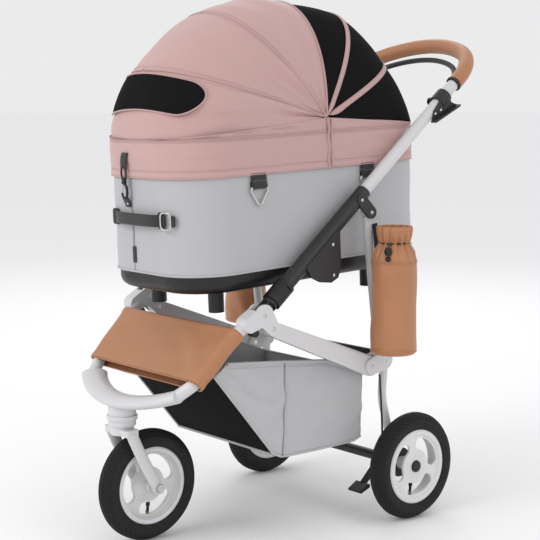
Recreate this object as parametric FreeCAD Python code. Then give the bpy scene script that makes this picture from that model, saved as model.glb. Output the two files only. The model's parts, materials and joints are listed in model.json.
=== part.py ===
import FreeCAD, Part
import math
import os

# Pet stroller: a three-wheeled folding frame that carries a soft-sided coach with a domed canopy.
# Millimetres, +Z up, the front faces -Y, the origin is on the ground under the middle of the object.
# Every station "y" in this file is measured from the rear axle; P() turns it into the part's frame.

V = FreeCAD.Vector
os.makedirs("parts", exist_ok=True)

# ---------------------------------------------------------------- driving dimensions
REAR_AXLE_Y = 158.35           # rear axle, from the middle of the object
REAR_TRACK = 490.0             # rear wheel centre to rear wheel centre
WHEEL_R = 115.0                # tyre's outer radius
TYRE_WIDTH = 45.0
TYRE_BORE_R = 78.0             # rim's bead seat
FRONT_AXLE_Y = -520.0
STEER_Y = -580.0               # caster's steering axis
AXLE_R = 6.0
RUN = 0.05                     # radial running clearance of a shaft in a bore

SIDE_X = 196.0                 # middle plane of side rails, sleeves and struts
FOLD_Y, FOLD_Z = -381.0, 474.5   # main fold pivot
LOWER_Y, LOWER_Z = -358.0, 446.0  # front pin of the side rail
REAR_Y, REAR_Z = -83.0, 336.0    # rear pin of the side rail
HANDLE_SLOPE = math.radians(39.8)
HANDLE_TUBE_R = 13.0
SLEEVE_R = 16.0
SLEEVE_END = 365.0             # along the slope, from the fold pivot
GRIP_START = 718.0
STRUT_R = 10.0
STRUT_TOP_Y, STRUT_TOP_Z = -93.0, 664.0

COACH_TILT = math.radians(2.6)   # the coach leans nose down
TILT_Y, TILT_Z = -200.0, 600.0
COACH_HALF_X = 167.0
COACH_FRONT_Y, COACH_REAR_Y = -524.0, 134.0
COACH_CORNER = 106.0
WALL_LOW, WALL_HIGH = 564.5, 830.0
WALL = 3.0
TRAY_LOW = 528.0
HEM_Z = 757.0                  # lower edge of the canopy's band
BAND_OUT = 3.5                 # how far the band stands outside the wall
PIVOT_Y, PIVOT_Z = -173.0, 861.0   # canopy bow pivots
PIVOT_X = 173.0
CANOPY = 2.5                   # thickness of canopy cloth
BOW_R = 3.0
BASE_FRONT, BASE_REAR = 4.1, 5.0   # slope of the band's top edge, degrees, each way from the pivot

POUCH_X = 267.0
POUCH_R = 47.5
POUCH_LOW, POUCH_NECK, POUCH_TOP = 372.0, 570.0, 640.0


# ---------------------------------------------------------------- helpers
def P(x, y, z):
    return V(x, y + REAR_AXLE_Y, z)


def save(node, *solids):
    shape = solids[0] if len(solids) == 1 else Part.makeCompound(list(solids))
    shape.exportStep("parts/" + node + ".step")
    print(node, round(shape.Volume / 1000.0, 2), "cm3", "valid" if shape.isValid() else "INVALID")


def mirror(shape):
    return shape.mirror(V(0, 0, 0), V(1, 0, 0))


def rod(start, end, radius):
    return Part.makeCylinder(radius, (end - start).Length, start, end - start)


def ring(start, end, outer, inner):
    return rod(start, end, outer).cut(rod(start, end, inner))


def box(low, high):
    return Part.makeBox(high.x - low.x, high.y - low.y, high.z - low.z, low)


def slab(x0, x1, outline):
    """A plate between two X planes; outline is (y, z) points measured from the rear axle."""
    points = [P(x0, y, z) for y, z in outline]
    face = Part.Face(Part.makePolygon(points + points[:1]))
    return face.extrude(V(x1 - x0, 0, 0))


def rounded_path(points, radii):
    """Straight runs joined by tangent arcs, one radius for each inner corner."""
    edges = []
    here = points[0]
    for before, corner, after, radius in zip(points, points[1:], points[2:], radii):
        a = (before - corner).normalize()
        b = (after - corner).normalize()
        half = a.getAngle(b) / 2.0
        reach = radius / math.tan(half)
        start, end = corner + a * reach, corner + b * reach
        bisector = (a + b).normalize()
        middle = corner + bisector * (radius / math.sin(half) - radius)
        if (start - here).Length > 1e-6:
            edges.append(Part.LineSegment(here, start).toShape())
        edges.append(Part.Arc(start, middle, end).toShape())
        here = end
    edges.append(Part.LineSegment(here, points[-1]).toShape())
    return Part.Wire(edges)


def sweep(path, radius):
    edge = path.Edges[0]
    start = edge.valueAt(edge.FirstParameter)
    along = edge.tangentAt(edge.FirstParameter)
    profile = Part.Wire(Part.makeCircle(radius, start, along))
    return path.makePipeShell([profile], True, True)


def pipe(path, outer, inner):
    """A hollow bar along straight runs and arcs: straight tubes and ring segments, joined."""
    pieces = []
    for edge in path.Edges:
        start, end = edge.valueAt(edge.FirstParameter), edge.valueAt(edge.LastParameter)
        along = edge.tangentAt(edge.FirstParameter)
        if isinstance(edge.Curve, Part.Line):
            pieces.append(ring(start, end, outer, inner))
            continue
        disc = Part.Face(Part.Wire(Part.makeCircle(outer, start, along)))
        annulus = disc.cut(Part.Face(Part.Wire(Part.makeCircle(inner, start, along))))
        centre = edge.Curve.Center
        swing = (start - centre).getAngle(end - centre)
        axis = (start - centre).cross(along)
        pieces.append(annulus.revolve(centre, axis, math.degrees(swing)))
    body = pieces[0]
    for piece in pieces[1:]:
        body = body.fuse(piece)
    return max(body.Solids, key=lambda solid: solid.Volume)


def tube(points, radii, outer, wall):
    path = rounded_path(points, radii)
    return sweep(path, outer).cut(sweep(path, outer - wall))


def on_slope(x, s, up=0.0):
    """A point on the handle's line: s along it from the fold pivot, up across it."""
    c, n = math.cos(HANDLE_SLOPE), math.sin(HANDLE_SLOPE)
    return P(x, FOLD_Y + s * c - up * n, FOLD_Z + s * n + up * c)


def rivet(x_face, y, z):
    """A domed rivet head that sits on an outboard face."""
    dome, stand = 5.0, 1.6
    head = Part.makeSphere(dome, P(x_face - dome + stand, y, z))
    return head.common(box(P(x_face, y - dome, z - dome), P(x_face + dome, y + dome, z + dome)))


def link(x0, x1, y_a, z_a, r_a, y_b, z_b, r_b):
    """A plate between two X planes whose outline wraps two circles."""
    length = math.hypot(y_b - y_a, z_b - z_a)
    facing = math.atan2(z_b - z_a, y_b - y_a)
    lean = math.acos((r_a - r_b) / length)
    corners = []
    for side in (1, -1):
        for y, z, r in ((y_a, z_a, r_a), (y_b, z_b, r_b))[::side]:
            at = facing + side * lean
            corners.append((y + r * math.cos(at), z + r * math.sin(at)))
    plate = slab(x0, x1, corners)
    for y, z, r in ((y_a, z_a, r_a), (y_b, z_b, r_b)):
        plate = plate.fuse(rod(P(x0, y, z), P(x1, y, z), r))
    return plate.removeSplitter()


def both(shape):
    return [shape, mirror(shape)]


# ---------------------------------------------------------------- wheels
def revolve_x(profile, x, y, z, angle=360):
    """profile is (x, r) points, turned about the X axis through (y, z)."""
    points = [P(x + px, y, z + pr) for px, pr in profile]
    face = Part.Face(Part.makePolygon(points + points[:1]))
    return face.revolve(P(x, y, z), V(1, 0, 0), angle)


def tyre(x, y):
    w = TYRE_WIDTH / 2.0
    r = WHEEL_R
    crown = [(-w, 94), (-w + 1.5, 101), (-w + 6, 108), (-w + 13, 113), (-5, r), (5, r),
             (w - 13, 113), (w - 6, 108), (w - 1.5, 101), (w, 94), (w - 3, 84), (w - 7, TYRE_BORE_R + 0.5)]
    inner = [(w - 9, TYRE_BORE_R + 0.5), (w - 9, 84), (w - 7, 94), (w - 12, 104), (0, 108),
             (-w + 12, 104), (-w + 7, 94), (-w + 9, 84), (-w + 9, TYRE_BORE_R + 0.5),
             (-w + 7, TYRE_BORE_R + 0.5), (-w + 3, 84)]
    return revolve_x(crown + inner, x, y, WHEEL_R)


def kidney(x, y, angle):
    """One rounded opening of the rim, as a cutter: a ring segment with round ends."""
    r_in, r_out, half_turn, width = 37.0, 63.0, 33.0, 60.0
    mid, cap = (r_in + r_out) / 2.0, (r_out - r_in) / 2.0
    body = ring(P(x - width / 2, y, WHEEL_R), P(x + width / 2, y, WHEEL_R), r_out, r_in)
    wedge = Part.makeCylinder(r_out + 5, width, P(x - width / 2, y, WHEEL_R), V(1, 0, 0), 2 * half_turn)
    wedge.rotate(P(x, y, WHEEL_R), V(1, 0, 0), angle - half_turn)
    cutter = body.common(wedge)
    for side in (-1, 1):
        probe = Part.makeCylinder(cap, width, P(x - width / 2, y, WHEEL_R), V(1, 0, 0))
        edge_angle = math.radians(angle + side * half_turn)
        probe.translate(V(0, -mid * math.sin(edge_angle), mid * math.cos(edge_angle)))
        cutter = cutter.fuse(probe)
    return cutter


def rim(x, y, out, bore):
    """Dished disc with three openings, a barrel under the tyre and a hub. out is +1 or -1."""
    w = TYRE_WIDTH / 2.0
    seat = TYRE_BORE_R
    profile = [(-30, bore), (-30, 14), (-12, 15), (2, 26), (8, 34), (10, 66), (4, 71), (-w + 5, 71),
               (-w + 3, seat - 1), (-w + 5, seat + 2), (-w + 7, seat), (w - 7, seat), (w - 5, seat + 2),
               (w - 3, seat - 1), (w - 4, 70), (15, 67), (13, 34), (12, 24), (14, 16), (14, bore)]
    solid = revolve_x([(px * out, pr) for px, pr in profile], x, y, WHEEL_R)
    for k in range(3):
        solid = solid.cut(kidney(x, y, 72 + 120 * k))
    return solid.cut(valve_hole(x, y, out))


def valve_hole(x, y, out):
    return rod(P(x - 3 * out, y, WHEEL_R - TYRE_BORE_R - 4), P(x - 3 * out, y, WHEEL_R - 60), 4.5)


def valve(x, y, out):
    """The inner tube's valve stem: it stands in from the rim's barrel towards the hub."""
    stem = rod(P(x - 3 * out, y, WHEEL_R - TYRE_BORE_R + 7.3), P(x - 3 * out, y + 2, WHEEL_R - 47), 3.0)
    cap = rod(P(x - 3 * out, y + 2, WHEEL_R - 47), P(x - 3 * out, y + 2.5, WHEEL_R - 40), 4.2)
    return stem.fuse(cap)


for side, sign in (("left", -1), ("right", 1)):
    wheel_x = sign * REAR_TRACK / 2.0
    save("rear_tyre_" + side, tyre(wheel_x, 0), valve(wheel_x, 0, sign))
    save("rear_rim_" + side, rim(wheel_x, 0, sign, AXLE_R + RUN))
    cap = revolve_x([(14.2 * sign, 0), (21 * sign, 0), (20 * sign, 8), (18 * sign, 12), (14.2 * sign, 13)],
                    wheel_x, 0, WHEEL_R)
    save("rear_cap_" + side, cap)

save("front_tyre", tyre(0, FRONT_AXLE_Y), valve(0, FRONT_AXLE_Y, 1))
front_profile = [(-27, AXLE_R + RUN), (-27, 14), (-10, 16), (-5, 34), (-4, 66), (-13, 71), (-17.5, 71),
                 (-19.5, 77), (-17.5, 80), (-15.5, 78), (15.5, 78), (17.5, 80), (19.5, 77), (17.5, 71),
                 (13, 71), (4, 66), (5, 34), (10, 16), (27, 14), (27, AXLE_R + RUN)]
front_rim = revolve_x(front_profile, 0, FRONT_AXLE_Y, WHEEL_R)
for k in range(3):
    front_rim = front_rim.cut(kidney(0, FRONT_AXLE_Y, 80 + 120 * k))
save("front_rim", front_rim.cut(valve_hole(0, FRONT_AXLE_Y, 1)))

# ---------------------------------------------------------------- front frame: swings on the fold pivot
CHEEK = 5.2                    # thickness of a bracket's cheek
SLOT_HALF = 9.3                # half the gap between two cheeks
RAIL_HALF = 9.0
RAIL_HIGH = 45.0
PIN_R = 5.0
FRONT_TUBE_R = 12.5
TUBE_WALL = 2.0
CROWN_Z = 300.0
BOSS_LOW = 249.0
STEM_R = 8.0


def pin(x, y, z, reach):
    """A headed pin through two cheeks, domed outside."""
    shank = rod(P(x - reach, y, z), P(x + reach, y, z), PIN_R)
    return shank.fuse(rivet(x + reach, y, z))


inner_x, outer_x = SIDE_X - SLOT_HALF - CHEEK, SIDE_X + SLOT_HALF + CHEEK
tube_points = [P(192, -413, 457), P(184, -436, 438), P(170, -522, 351), P(146, -556, 322)]
front_tube = tube(tube_points, [60, 60], FRONT_TUBE_R, TUBE_WALL)
front_tube_solid = sweep(rounded_path(tube_points, [60, 60]), FRONT_TUBE_R)

ARM_Y, ARM_Z = -416.0, 459.0
knuckle = link(inner_x, outer_x, FOLD_Y, FOLD_Z, 22, LOWER_Y, LOWER_Z, 15)
arm = link(inner_x, outer_x, FOLD_Y, FOLD_Z, 20, ARM_Y, ARM_Z, 16)
slot = link(SIDE_X - SLOT_HALF, SIDE_X + SLOT_HALF, FOLD_Y, FOLD_Z, 23, LOWER_Y, LOWER_Z, 30)
front_bracket = knuckle.fuse(arm).cut(slot).cut(front_tube_solid)
for y, z in ((FOLD_Y, FOLD_Z), (LOWER_Y, LOWER_Z)):
    front_bracket = front_bracket.cut(rod(P(inner_x - 1, y, z), P(outer_x + 1, y, z), PIN_R + 0.1))
bumper = rod(P(SIDE_X - 8, -399, 440), P(SIDE_X + 8, -399, 440), 8).cut(front_bracket).cut(front_tube_solid)
bumper = bumper.cut(slot)
front_pins = [pin(SIDE_X, y, z, SLOT_HALF + CHEEK) for y, z in ((FOLD_Y, FOLD_Z), (LOWER_Y, LOWER_Z))]

crown_arc = Part.Wire(Part.Arc(P(150, -548, 326), P(0, -590, CROWN_Z), P(-150, -548, 326)).toShape())
crown_start = crown_arc.Edges[0].valueAt(crown_arc.Edges[0].FirstParameter)
crown_along = crown_arc.Edges[0].tangentAt(crown_arc.Edges[0].FirstParameter)
crown_section = Part.Ellipse(V(0, 0, 0), 27, 13).toShape()
flat_side = crown_along.cross(V(0, 0, 1)).normalize()
turn = FreeCAD.Rotation(flat_side, crown_along.cross(flat_side), crown_along, "ZXY")
crown_section.Placement = FreeCAD.Placement(crown_start, turn)
crown = crown_arc.makePipeShell([Part.Wire(crown_section)], True, True)
boss = rod(P(0, STEER_Y, BOSS_LOW), P(0, STEER_Y, CROWN_Z - 4), 28)
boss = boss.fuse(rod(P(0, STEER_Y, BOSS_LOW + 12), P(0, STEER_Y, BOSS_LOW + 20), 31))
crown = crown.fuse(boss)
crown = crown.cut(rod(P(0, STEER_Y, BOSS_LOW - 1), P(0, STEER_Y, CROWN_Z - 9), STEM_R + RUN))
crown = crown.cut(front_tube_solid).cut(mirror(front_tube_solid))
crown = max(crown.Solids, key=lambda s: s.Volume)

save("hub_crown", crown)
save("front_tube_right", front_tube)
save("front_tube_left", mirror(front_tube))
save("front_brackets", *both(front_bracket))
save("front_pivot_pins", *[s for p in front_pins for s in both(p)])
save("rubber_bumpers", *both(bumper))


def stadium(x_half, y, z, thick, slope):
    """A closed flat-oval wire, wide along X, standing across a line that slopes in the YZ plane."""
    reach = x_half - thick / 2.0
    up = V(0, -math.sin(slope), math.cos(slope)) * (thick / 2.0)
    left, right = P(-reach, y, z), P(reach, y, z)
    out = V(thick / 2.0, 0, 0)
    return Part.Wire([Part.LineSegment(left + up, right + up).toShape(),
                      Part.Arc(right + up, right + out, right - up).toShape(),
                      Part.LineSegment(right - up, left - up).toShape(),
                      Part.Arc(left - up, left - out, left + up).toShape()])


REST_SLOPE = math.atan2(438 - 351, 522 - 436)
REST_THICK = 30.0
rest_ends = ((-432, 441.5, 197.0), (-526, 347, 187.5))
cover = Part.makeLoft([stadium(w, y, z, REST_THICK, REST_SLOPE) for y, z, w in rest_ends], True, True)
hollow = Part.makeLoft([stadium(w - 1.6, y + dy, z + dy, REST_THICK - 3.2, REST_SLOPE)
                        for (y, z, w), dy in zip(rest_ends, (1, -1))], True, True)
tube_room = sweep(rounded_path(tube_points, [60, 60]), FRONT_TUBE_R + 0.1)
cover = cover.cut(hollow).cut(tube_room).cut(mirror(tube_room))
save("footrest_cover", max(cover.Solids, key=lambda s: s.Volume))

# ---------------------------------------------------------------- caster
LEG_X = 37.5
fork_top = Part.makeCylinder(24, BOSS_LOW - 0.6 - 230, P(0, STEER_Y, 230), V(0, 0, 1))
bridge = box(P(-LEG_X - 5, STEER_Y - 16, 230), P(LEG_X + 5, STEER_Y + 13, 243))
bridge = bridge.makeFillet(5, [e for e in bridge.Edges if abs(e.tangentAt(e.FirstParameter).z) > 0.9])
leg_arc = Part.Wire(Part.Arc(P(LEG_X, STEER_Y - 3, 236), P(LEG_X, STEER_Y + 21, 185),
                             P(LEG_X, FRONT_AXLE_Y, WHEEL_R)).toShape())
leg_edge = leg_arc.Edges[0]
leg_section = Part.Ellipse(V(0, 0, 0), 12.5, 6.2).toShape()
leg_along = leg_edge.tangentAt(leg_edge.FirstParameter)
leg_wide = leg_along.cross(V(1, 0, 0)).normalize()
leg_section.Placement = FreeCAD.Placement(leg_edge.valueAt(leg_edge.FirstParameter),
                                          FreeCAD.Rotation(leg_wide, V(1, 0, 0), leg_along, "ZXY"))
leg = leg_arc.makePipeShell([Part.Wire(leg_section)], True, True)
leg = leg.fuse(rod(P(LEG_X - 6.2, FRONT_AXLE_Y, WHEEL_R), P(LEG_X + 6.2, FRONT_AXLE_Y, WHEEL_R), 13))
fork = fork_top.fuse(bridge).fuse(leg).fuse(mirror(leg))
fork = fork.cut(rod(P(-60, FRONT_AXLE_Y, WHEEL_R), P(60, FRONT_AXLE_Y, WHEEL_R), AXLE_R + 0.1))
fork = fork.fuse(rod(P(0, STEER_Y, 231), P(0, STEER_Y, CROWN_Z - 11), STEM_R))
save("caster_fork", fork.removeSplitter())


def nut(x0, x1, y, z, size):
    turns = [k * math.pi / 3 for k in range(6)]
    corners = [(y + size * math.cos(turn), z + size * math.sin(turn)) for turn in turns]
    return slab(min(x0, x1), max(x0, x1), corners)


bolt = rod(P(-48, FRONT_AXLE_Y, WHEEL_R), P(48, FRONT_AXLE_Y, WHEEL_R), AXLE_R)
nuts = [nut(44, 50, FRONT_AXLE_Y, WHEEL_R, 9.5), nut(-44, -50, FRONT_AXLE_Y, WHEEL_R, 9.5)]
save("front_axle_bolt", bolt, *[n.cut(bolt) for n in nuts])

# ---------------------------------------------------------------- side rails
rail_slope = math.atan2(REAR_Z - LOWER_Z, REAR_Y - LOWER_Y)
rail_wrap = link(SIDE_X - RAIL_HALF, SIDE_X + RAIL_HALF, LOWER_Y, LOWER_Z, 15, REAR_Y, REAR_Z, 21.6)
flat = (RAIL_HIGH - 2 * RAIL_HALF) / 2.0


def rail_profile(shrink):
    half, low = RAIL_HALF - shrink, flat
    up = V(0, -math.sin(rail_slope), math.cos(rail_slope))
    away = V(0, math.cos(rail_slope), math.sin(rail_slope)) * 40
    middle = P(SIDE_X, LOWER_Y, LOWER_Z) - away
    side = V(half, 0, 0)
    top, bottom = middle + up * low, middle - up * low
    wire = Part.Wire([Part.LineSegment(top - side, bottom - side).toShape(),
                      Part.Arc(bottom - side, bottom - up * half, bottom + side).toShape(),
                      Part.LineSegment(bottom + side, top + side).toShape(),
                      Part.Arc(top + side, top + up * half, top - side).toShape()])
    return Part.Face(wire).extrude(away * 10.5)


# the front pin runs in a slot, so that the rail can follow the bracket round
slot_back = 5.5
slot_end_y = LOWER_Y + slot_back * math.cos(rail_slope)
slot_end_z = LOWER_Z + slot_back * math.sin(rail_slope)
front_slot = link(0, 400, LOWER_Y - 1, LOWER_Z + 0.4, PIN_R + 0.9, slot_end_y, slot_end_z, PIN_R + 0.85)
rail = rail_profile(0).common(rail_wrap)
lighten = rail_profile(TUBE_WALL).common(box(P(0, LOWER_Y + 34, 0), P(400, REAR_Y - 30, 900)))
rail = rail.cut(lighten.common(rail_wrap))
rail = rail.cut(front_slot)
rail = rail.cut(rod(P(0, REAR_Y, REAR_Z), P(400, REAR_Y, REAR_Z), PIN_R + RUN))
save("side_rail_right", rail)
save("side_rail_left", mirror(rail))

# ---------------------------------------------------------------- rear frame
LEG_R = 9.0
AXLE_BEAM_R = 11.0
BACK_Y, BACK_Z = -45.0, 346.0
axle = rod(P(-206, 0, WHEEL_R), P(206, 0, WHEEL_R), AXLE_BEAM_R)
axle = axle.fuse(rod(P(-257, 0, WHEEL_R), P(257, 0, WHEEL_R), AXLE_R))
save("rear_axle", axle)
leg_points = [P(SIDE_X, -37, 332), P(SIDE_X, -43, 262), P(SIDE_X, -22, 190), P(SIDE_X, 0, 118)]
rear_leg_solid = sweep(rounded_path(leg_points, [120, 300]), LEG_R)
rear_leg = tube(leg_points, [120, 300], LEG_R, TUBE_WALL)
rear_leg = max(rear_leg.cut(axle).Solids, key=lambda s: s.Volume)
strut_foot, strut_head = P(SIDE_X, -52, 354), P(SIDE_X, STRUT_TOP_Y + 0.5, STRUT_TOP_Z - 8)
strut = ring(strut_foot, strut_head, STRUT_R, STRUT_R - TUBE_WALL)
strut_eye = rod(P(SIDE_X - 7, STRUT_TOP_Y, STRUT_TOP_Z), P(SIDE_X + 7, STRUT_TOP_Y, STRUT_TOP_Z), 11)
strut = strut.fuse(strut_eye).cut(rod(P(0, STRUT_TOP_Y, STRUT_TOP_Z), P(400, STRUT_TOP_Y, STRUT_TOP_Z), 4.1))
strut_along = (strut_head - strut_foot).normalize()
strut_plug = rod(strut_foot - strut_along * 3, strut_head, STRUT_R + 0.1)
rear_bracket = link(inner_x, outer_x, REAR_Y, REAR_Z, 18, BACK_Y, BACK_Z, 20)
rail_room = link(SIDE_X - SLOT_HALF, SIDE_X + SLOT_HALF, LOWER_Y, LOWER_Z, 30, REAR_Y, REAR_Z, 24)
rear_bracket = rear_bracket.cut(rail_room).cut(rear_leg_solid).cut(strut_plug)
rear_bracket = rear_bracket.cut(rod(P(0, REAR_Y, REAR_Z), P(400, REAR_Y, REAR_Z), PIN_R + 0.1))
rear_bracket = max(rear_bracket.Solids, key=lambda s: s.Volume)
rear_leg = rear_leg.cut(strut_plug)
save("rear_leg_right", rear_leg)
save("rear_leg_left", mirror(rear_leg))
save("rear_strut_right", strut)
save("rear_strut_left", mirror(strut))
save("rear_brackets", *both(rear_bracket))
save("rear_cross_bar", rod(P(-inner_x, -48, 356), P(inner_x, -48, 356), 9))

# ---------------------------------------------------------------- brakes
DRUM_X0, DRUM_X1, DRUM_R = 206.3, 213.3, 32.0
drum = ring(P(DRUM_X0, 0, WHEEL_R), P(DRUM_X1, 0, WHEEL_R), DRUM_R, AXLE_R + 0.2)
drum_arm = link(DRUM_X0 + 2, DRUM_X0 + 5, -22, WHEEL_R + 12, 9, -52, 150, 6)
brake = drum.fuse(drum_arm).cut(rod(P(200, -52, 150), P(220, -52, 150), 1.6))
cable_points = [P(207, -60, 316), P(209, -57, 262), P(209.8, -54, 208), P(209.8, -52, 157)]
cable = sweep(rounded_path(cable_points, [400, 400]), 2.2)
save("brake_drums", *both(brake))
save("brake_cables", *both(cable))
helix = Part.makeHelix(4.5, 50, 4.2)
coil_profile = Part.Wire(Part.makeCircle(0.8, V(4.2, 0, 0), V(0, 1, 0)))
spring = Part.Wire(helix).makePipeShell([coil_profile], True, True)
spring.translate(P(200, -50, 98))
lug = box(P(195, -58, 93), P(205.5, -8, 97)).cut(axle)
lug = max(lug.Solids, key=lambda s: s.Volume).cut(rear_leg_solid)
save("brake_springs", *both(spring.fuse(lug)))

PEDAL_X0, PEDAL_X1 = 140.0, 166.0
pedal_hub = ring(P(PEDAL_X0, 0, WHEEL_R), P(PEDAL_X1, 0, WHEEL_R), AXLE_BEAM_R + 6, AXLE_BEAM_R + RUN)
pedal_bar = link(PEDAL_X0 + 8, PEDAL_X1 - 8, -10, WHEEL_R - 10, 6, -62, 57, 5)
pedal_pad = link(PEDAL_X0 - 6, PEDAL_X1 + 6, -56, 62, 5, -78, 52, 3)
bar_bore = rod(P(100, 0, WHEEL_R), P(200, 0, WHEEL_R), AXLE_BEAM_R + RUN)
save("brake_pedal", pedal_hub.fuse(pedal_bar).fuse(pedal_pad).cut(bar_bore).removeSplitter())

# ---------------------------------------------------------------- upper frame
TONGUE_HALF = 9.0
ANCHOR_Y0, ANCHOR_Y1 = -236.0, -196.0   # the coach's anchor lug, which stands on the sleeve's saddle
ANCHOR_LOW, ANCHOR_HIGH = 556.0, 590.0
SADDLE_X = COACH_HALF_X + 4.5
SLEEVE_BORE = 13.2
TONGUE_R = 13.0
TONGUE_REACH = 38.0            # along the slope
FOLD_ROOM = 30.0               # radius that the folding bracket sweeps round its pivot
sleeve = rod(on_slope(SIDE_X, 20), on_slope(SIDE_X, SLEEVE_END), SLEEVE_R)
tongue_end = on_slope(SIDE_X, TONGUE_REACH)
tongue = link(SIDE_X - TONGUE_HALF, SIDE_X + TONGUE_HALF, FOLD_Y, FOLD_Z, TONGUE_R + 0.01,
              tongue_end.y - REAR_AXLE_Y, tongue_end.z, TONGUE_R)
clear_ring = rod(P(0, FOLD_Y, FOLD_Z), P(400, FOLD_Y, FOLD_Z), FOLD_ROOM)
sleeve = sleeve.cut(clear_ring).fuse(tongue)
sleeve = sleeve.cut(rod(on_slope(SIDE_X, 60), on_slope(SIDE_X, SLEEVE_END + 1), SLEEVE_BORE))
plate_in, plate_out = SIDE_X + STRUT_R + 0.2, SIDE_X + SLEEVE_R + 1.5
panel = slab(plate_in, plate_out, [(-275, 562.8), (-262, 541), (-236, 529), (-207, 526), (-188, 535),
                                   (-180, 556), (-182, 600), (-184, 638.6)])
tab = link(plate_in, plate_out, -121, 691, 13, STRUT_TOP_Y, STRUT_TOP_Z, 13)
bore_cut = rod(on_slope(SIDE_X, 60), on_slope(SIDE_X, SLEEVE_END + 60), SLEEVE_BORE)
saddle = box(P(SADDLE_X, ANCHOR_Y0, 546), P(plate_in + 1, ANCHOR_Y1, ANCHOR_LOW - 1.7))
sleeve = sleeve.fuse(panel).fuse(tab).fuse(saddle).cut(bore_cut)
sleeve = sleeve.cut(rod(P(0, FOLD_Y, FOLD_Z), P(400, FOLD_Y, FOLD_Z), PIN_R + RUN))
sleeve = sleeve.cut(rod(P(0, STRUT_TOP_Y, STRUT_TOP_Z), P(400, STRUT_TOP_Y, STRUT_TOP_Z), 4.1))
save("sleeve_right", sleeve.removeSplitter())
save("sleeve_left", mirror(sleeve.removeSplitter()))

rivets = []
for y, z in ((-199, 541), (-202, 604), (-121, 691)):
    rivets.append(rivet(plate_out, y, z))
strut_pin = rod(P(SIDE_X - 12, STRUT_TOP_Y, STRUT_TOP_Z), P(plate_out, STRUT_TOP_Y, STRUT_TOP_Z), 4)
rivets.append(strut_pin.fuse(rivet(plate_out, STRUT_TOP_Y, STRUT_TOP_Z)))
rivets.append(pin(SIDE_X, REAR_Y, REAR_Z, SLOT_HALF + CHEEK))
rivets.append(rivet(outer_x, -41, 343))

U_SLOPE = math.radians(35)
BOW_DEEP = 160.0
TURN = math.radians(60)


def u_path(half_width, depth, start):
    """The handle's bow: a corner arc of 60 degrees, a wide arc across, and the corner again."""
    r_corner = (depth - half_width / math.cos(TURN) * (1 - math.sin(TURN)))
    r_corner /= math.sin(TURN) - (1 - math.cos(TURN)) / math.cos(TURN) * (1 - math.sin(TURN))
    r_wide = (half_width - r_corner * (1 - math.cos(TURN))) / math.cos(TURN)

    def at(x, t):
        return start + V(x - start.x, t * math.cos(U_SLOPE), t * math.sin(U_SLOPE))

    def corner(angle, side):
        return at(side * (half_width - r_corner * (1 - math.cos(angle))), r_corner * math.sin(angle))

    return [Part.Arc(corner(0, 1), corner(TURN / 2, 1), corner(TURN, 1)).toShape(),
            Part.Arc(corner(TURN, 1), at(0, r_corner * math.sin(TURN) + r_wide * (1 - math.sin(TURN))),
                     corner(TURN, -1)).toShape(),
            Part.Arc(corner(TURN, -1), corner(TURN / 2, -1), corner(0, -1)).toShape()]


bend = on_slope(SIDE_X, GRIP_START - 4)
bow_start = bend + V(0, math.cos(U_SLOPE), math.sin(U_SLOPE)) * 4
bow = Part.Wire(u_path(SIDE_X, BOW_DEEP, bow_start))
leg_path = rounded_path([on_slope(SIDE_X, 200), bend, bow_start], [80])
handle_leg = pipe(leg_path, HANDLE_TUBE_R, HANDLE_TUBE_R - TUBE_WALL)
handle = pipe(bow, HANDLE_TUBE_R, HANDLE_TUBE_R - TUBE_WALL).fuse(handle_leg).fuse(mirror(handle_leg))
save("handle_tube", handle)
save("handle_grip", pipe(bow, 16.8, HANDLE_TUBE_R + 0.1))

CLAMP_S = 664.0
LEVER_PIN_R = 4.0
CLAMP_R = 18.0
clamp = ring(on_slope(SIDE_X, CLAMP_S - 15), on_slope(SIDE_X, CLAMP_S + 15), CLAMP_R, HANDLE_TUBE_R + 0.1)
lever_eye = on_slope(SIDE_X, CLAMP_S, -6)
clamp = clamp.fuse(rod(lever_eye - V(14, 0, 0), lever_eye - V(24, 0, 0), 9))
clamp = clamp.cut(rod(on_slope(SIDE_X, CLAMP_S - 20), on_slope(SIDE_X, CLAMP_S + 20), HANDLE_TUBE_R + 0.1))
clamp = clamp.fuse(rod(lever_eye - V(23, 0, 0), lever_eye - V(38, 0, 0), LEVER_PIN_R))
save("lever_clamps", *both(clamp))
eye = ring(lever_eye - V(25, 0, 0), lever_eye - V(36, 0, 0), 9, LEVER_PIN_R + RUN)
lever_start = on_slope(166, GRIP_START - 8, -14)
lever_edges = u_path(166, BOW_DEEP - 30, lever_start)
lever_bar = sweep(Part.Wire(lever_edges), 6)
arm_start = lever_edges[0].valueAt(lever_edges[0].FirstParameter)
arm_end = V(arm_start.x, lever_eye.y, lever_eye.z)
lever_arm = rod(arm_end, arm_start, 5.5).fuse(Part.makeSphere(7.5, arm_start))
bore = rod(lever_eye, lever_eye - V(80, 0, 0), LEVER_PIN_R + RUN)
lever_side = eye.fuse(lever_arm).cut(bore)
lever = lever_bar.fuse(lever_side).fuse(mirror(lever_side))
save("brake_lever", lever)

wing_in = SIDE_X + HANDLE_TUBE_R + 0.3
wing_outline = [(92, 874), (116, 903), (134, 907), (148, 893), (163, 889), (161, 884), (86, 849)]
wing = slab(wing_in, wing_in + 3, wing_outline)
wing = wing.fuse(slab(wing_in, wing_in + 16, [(86, 849), (161, 884), (163, 889), (85, 853)]))
clamp_room = rod(on_slope(SIDE_X, CLAMP_S - 16), on_slope(SIDE_X, CLAMP_S + 16), CLAMP_R + 0.1)
wing = max(wing.cut(clamp_room).Solids, key=lambda s: s.Volume)
rivets += [rivet(wing_in + 3, y, z) for y, z in ((114, 876), (97, 868))]
save("wing_brackets", *both(wing))
save("frame_rivets", *[s for r in rivets for s in both(r)])

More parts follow.
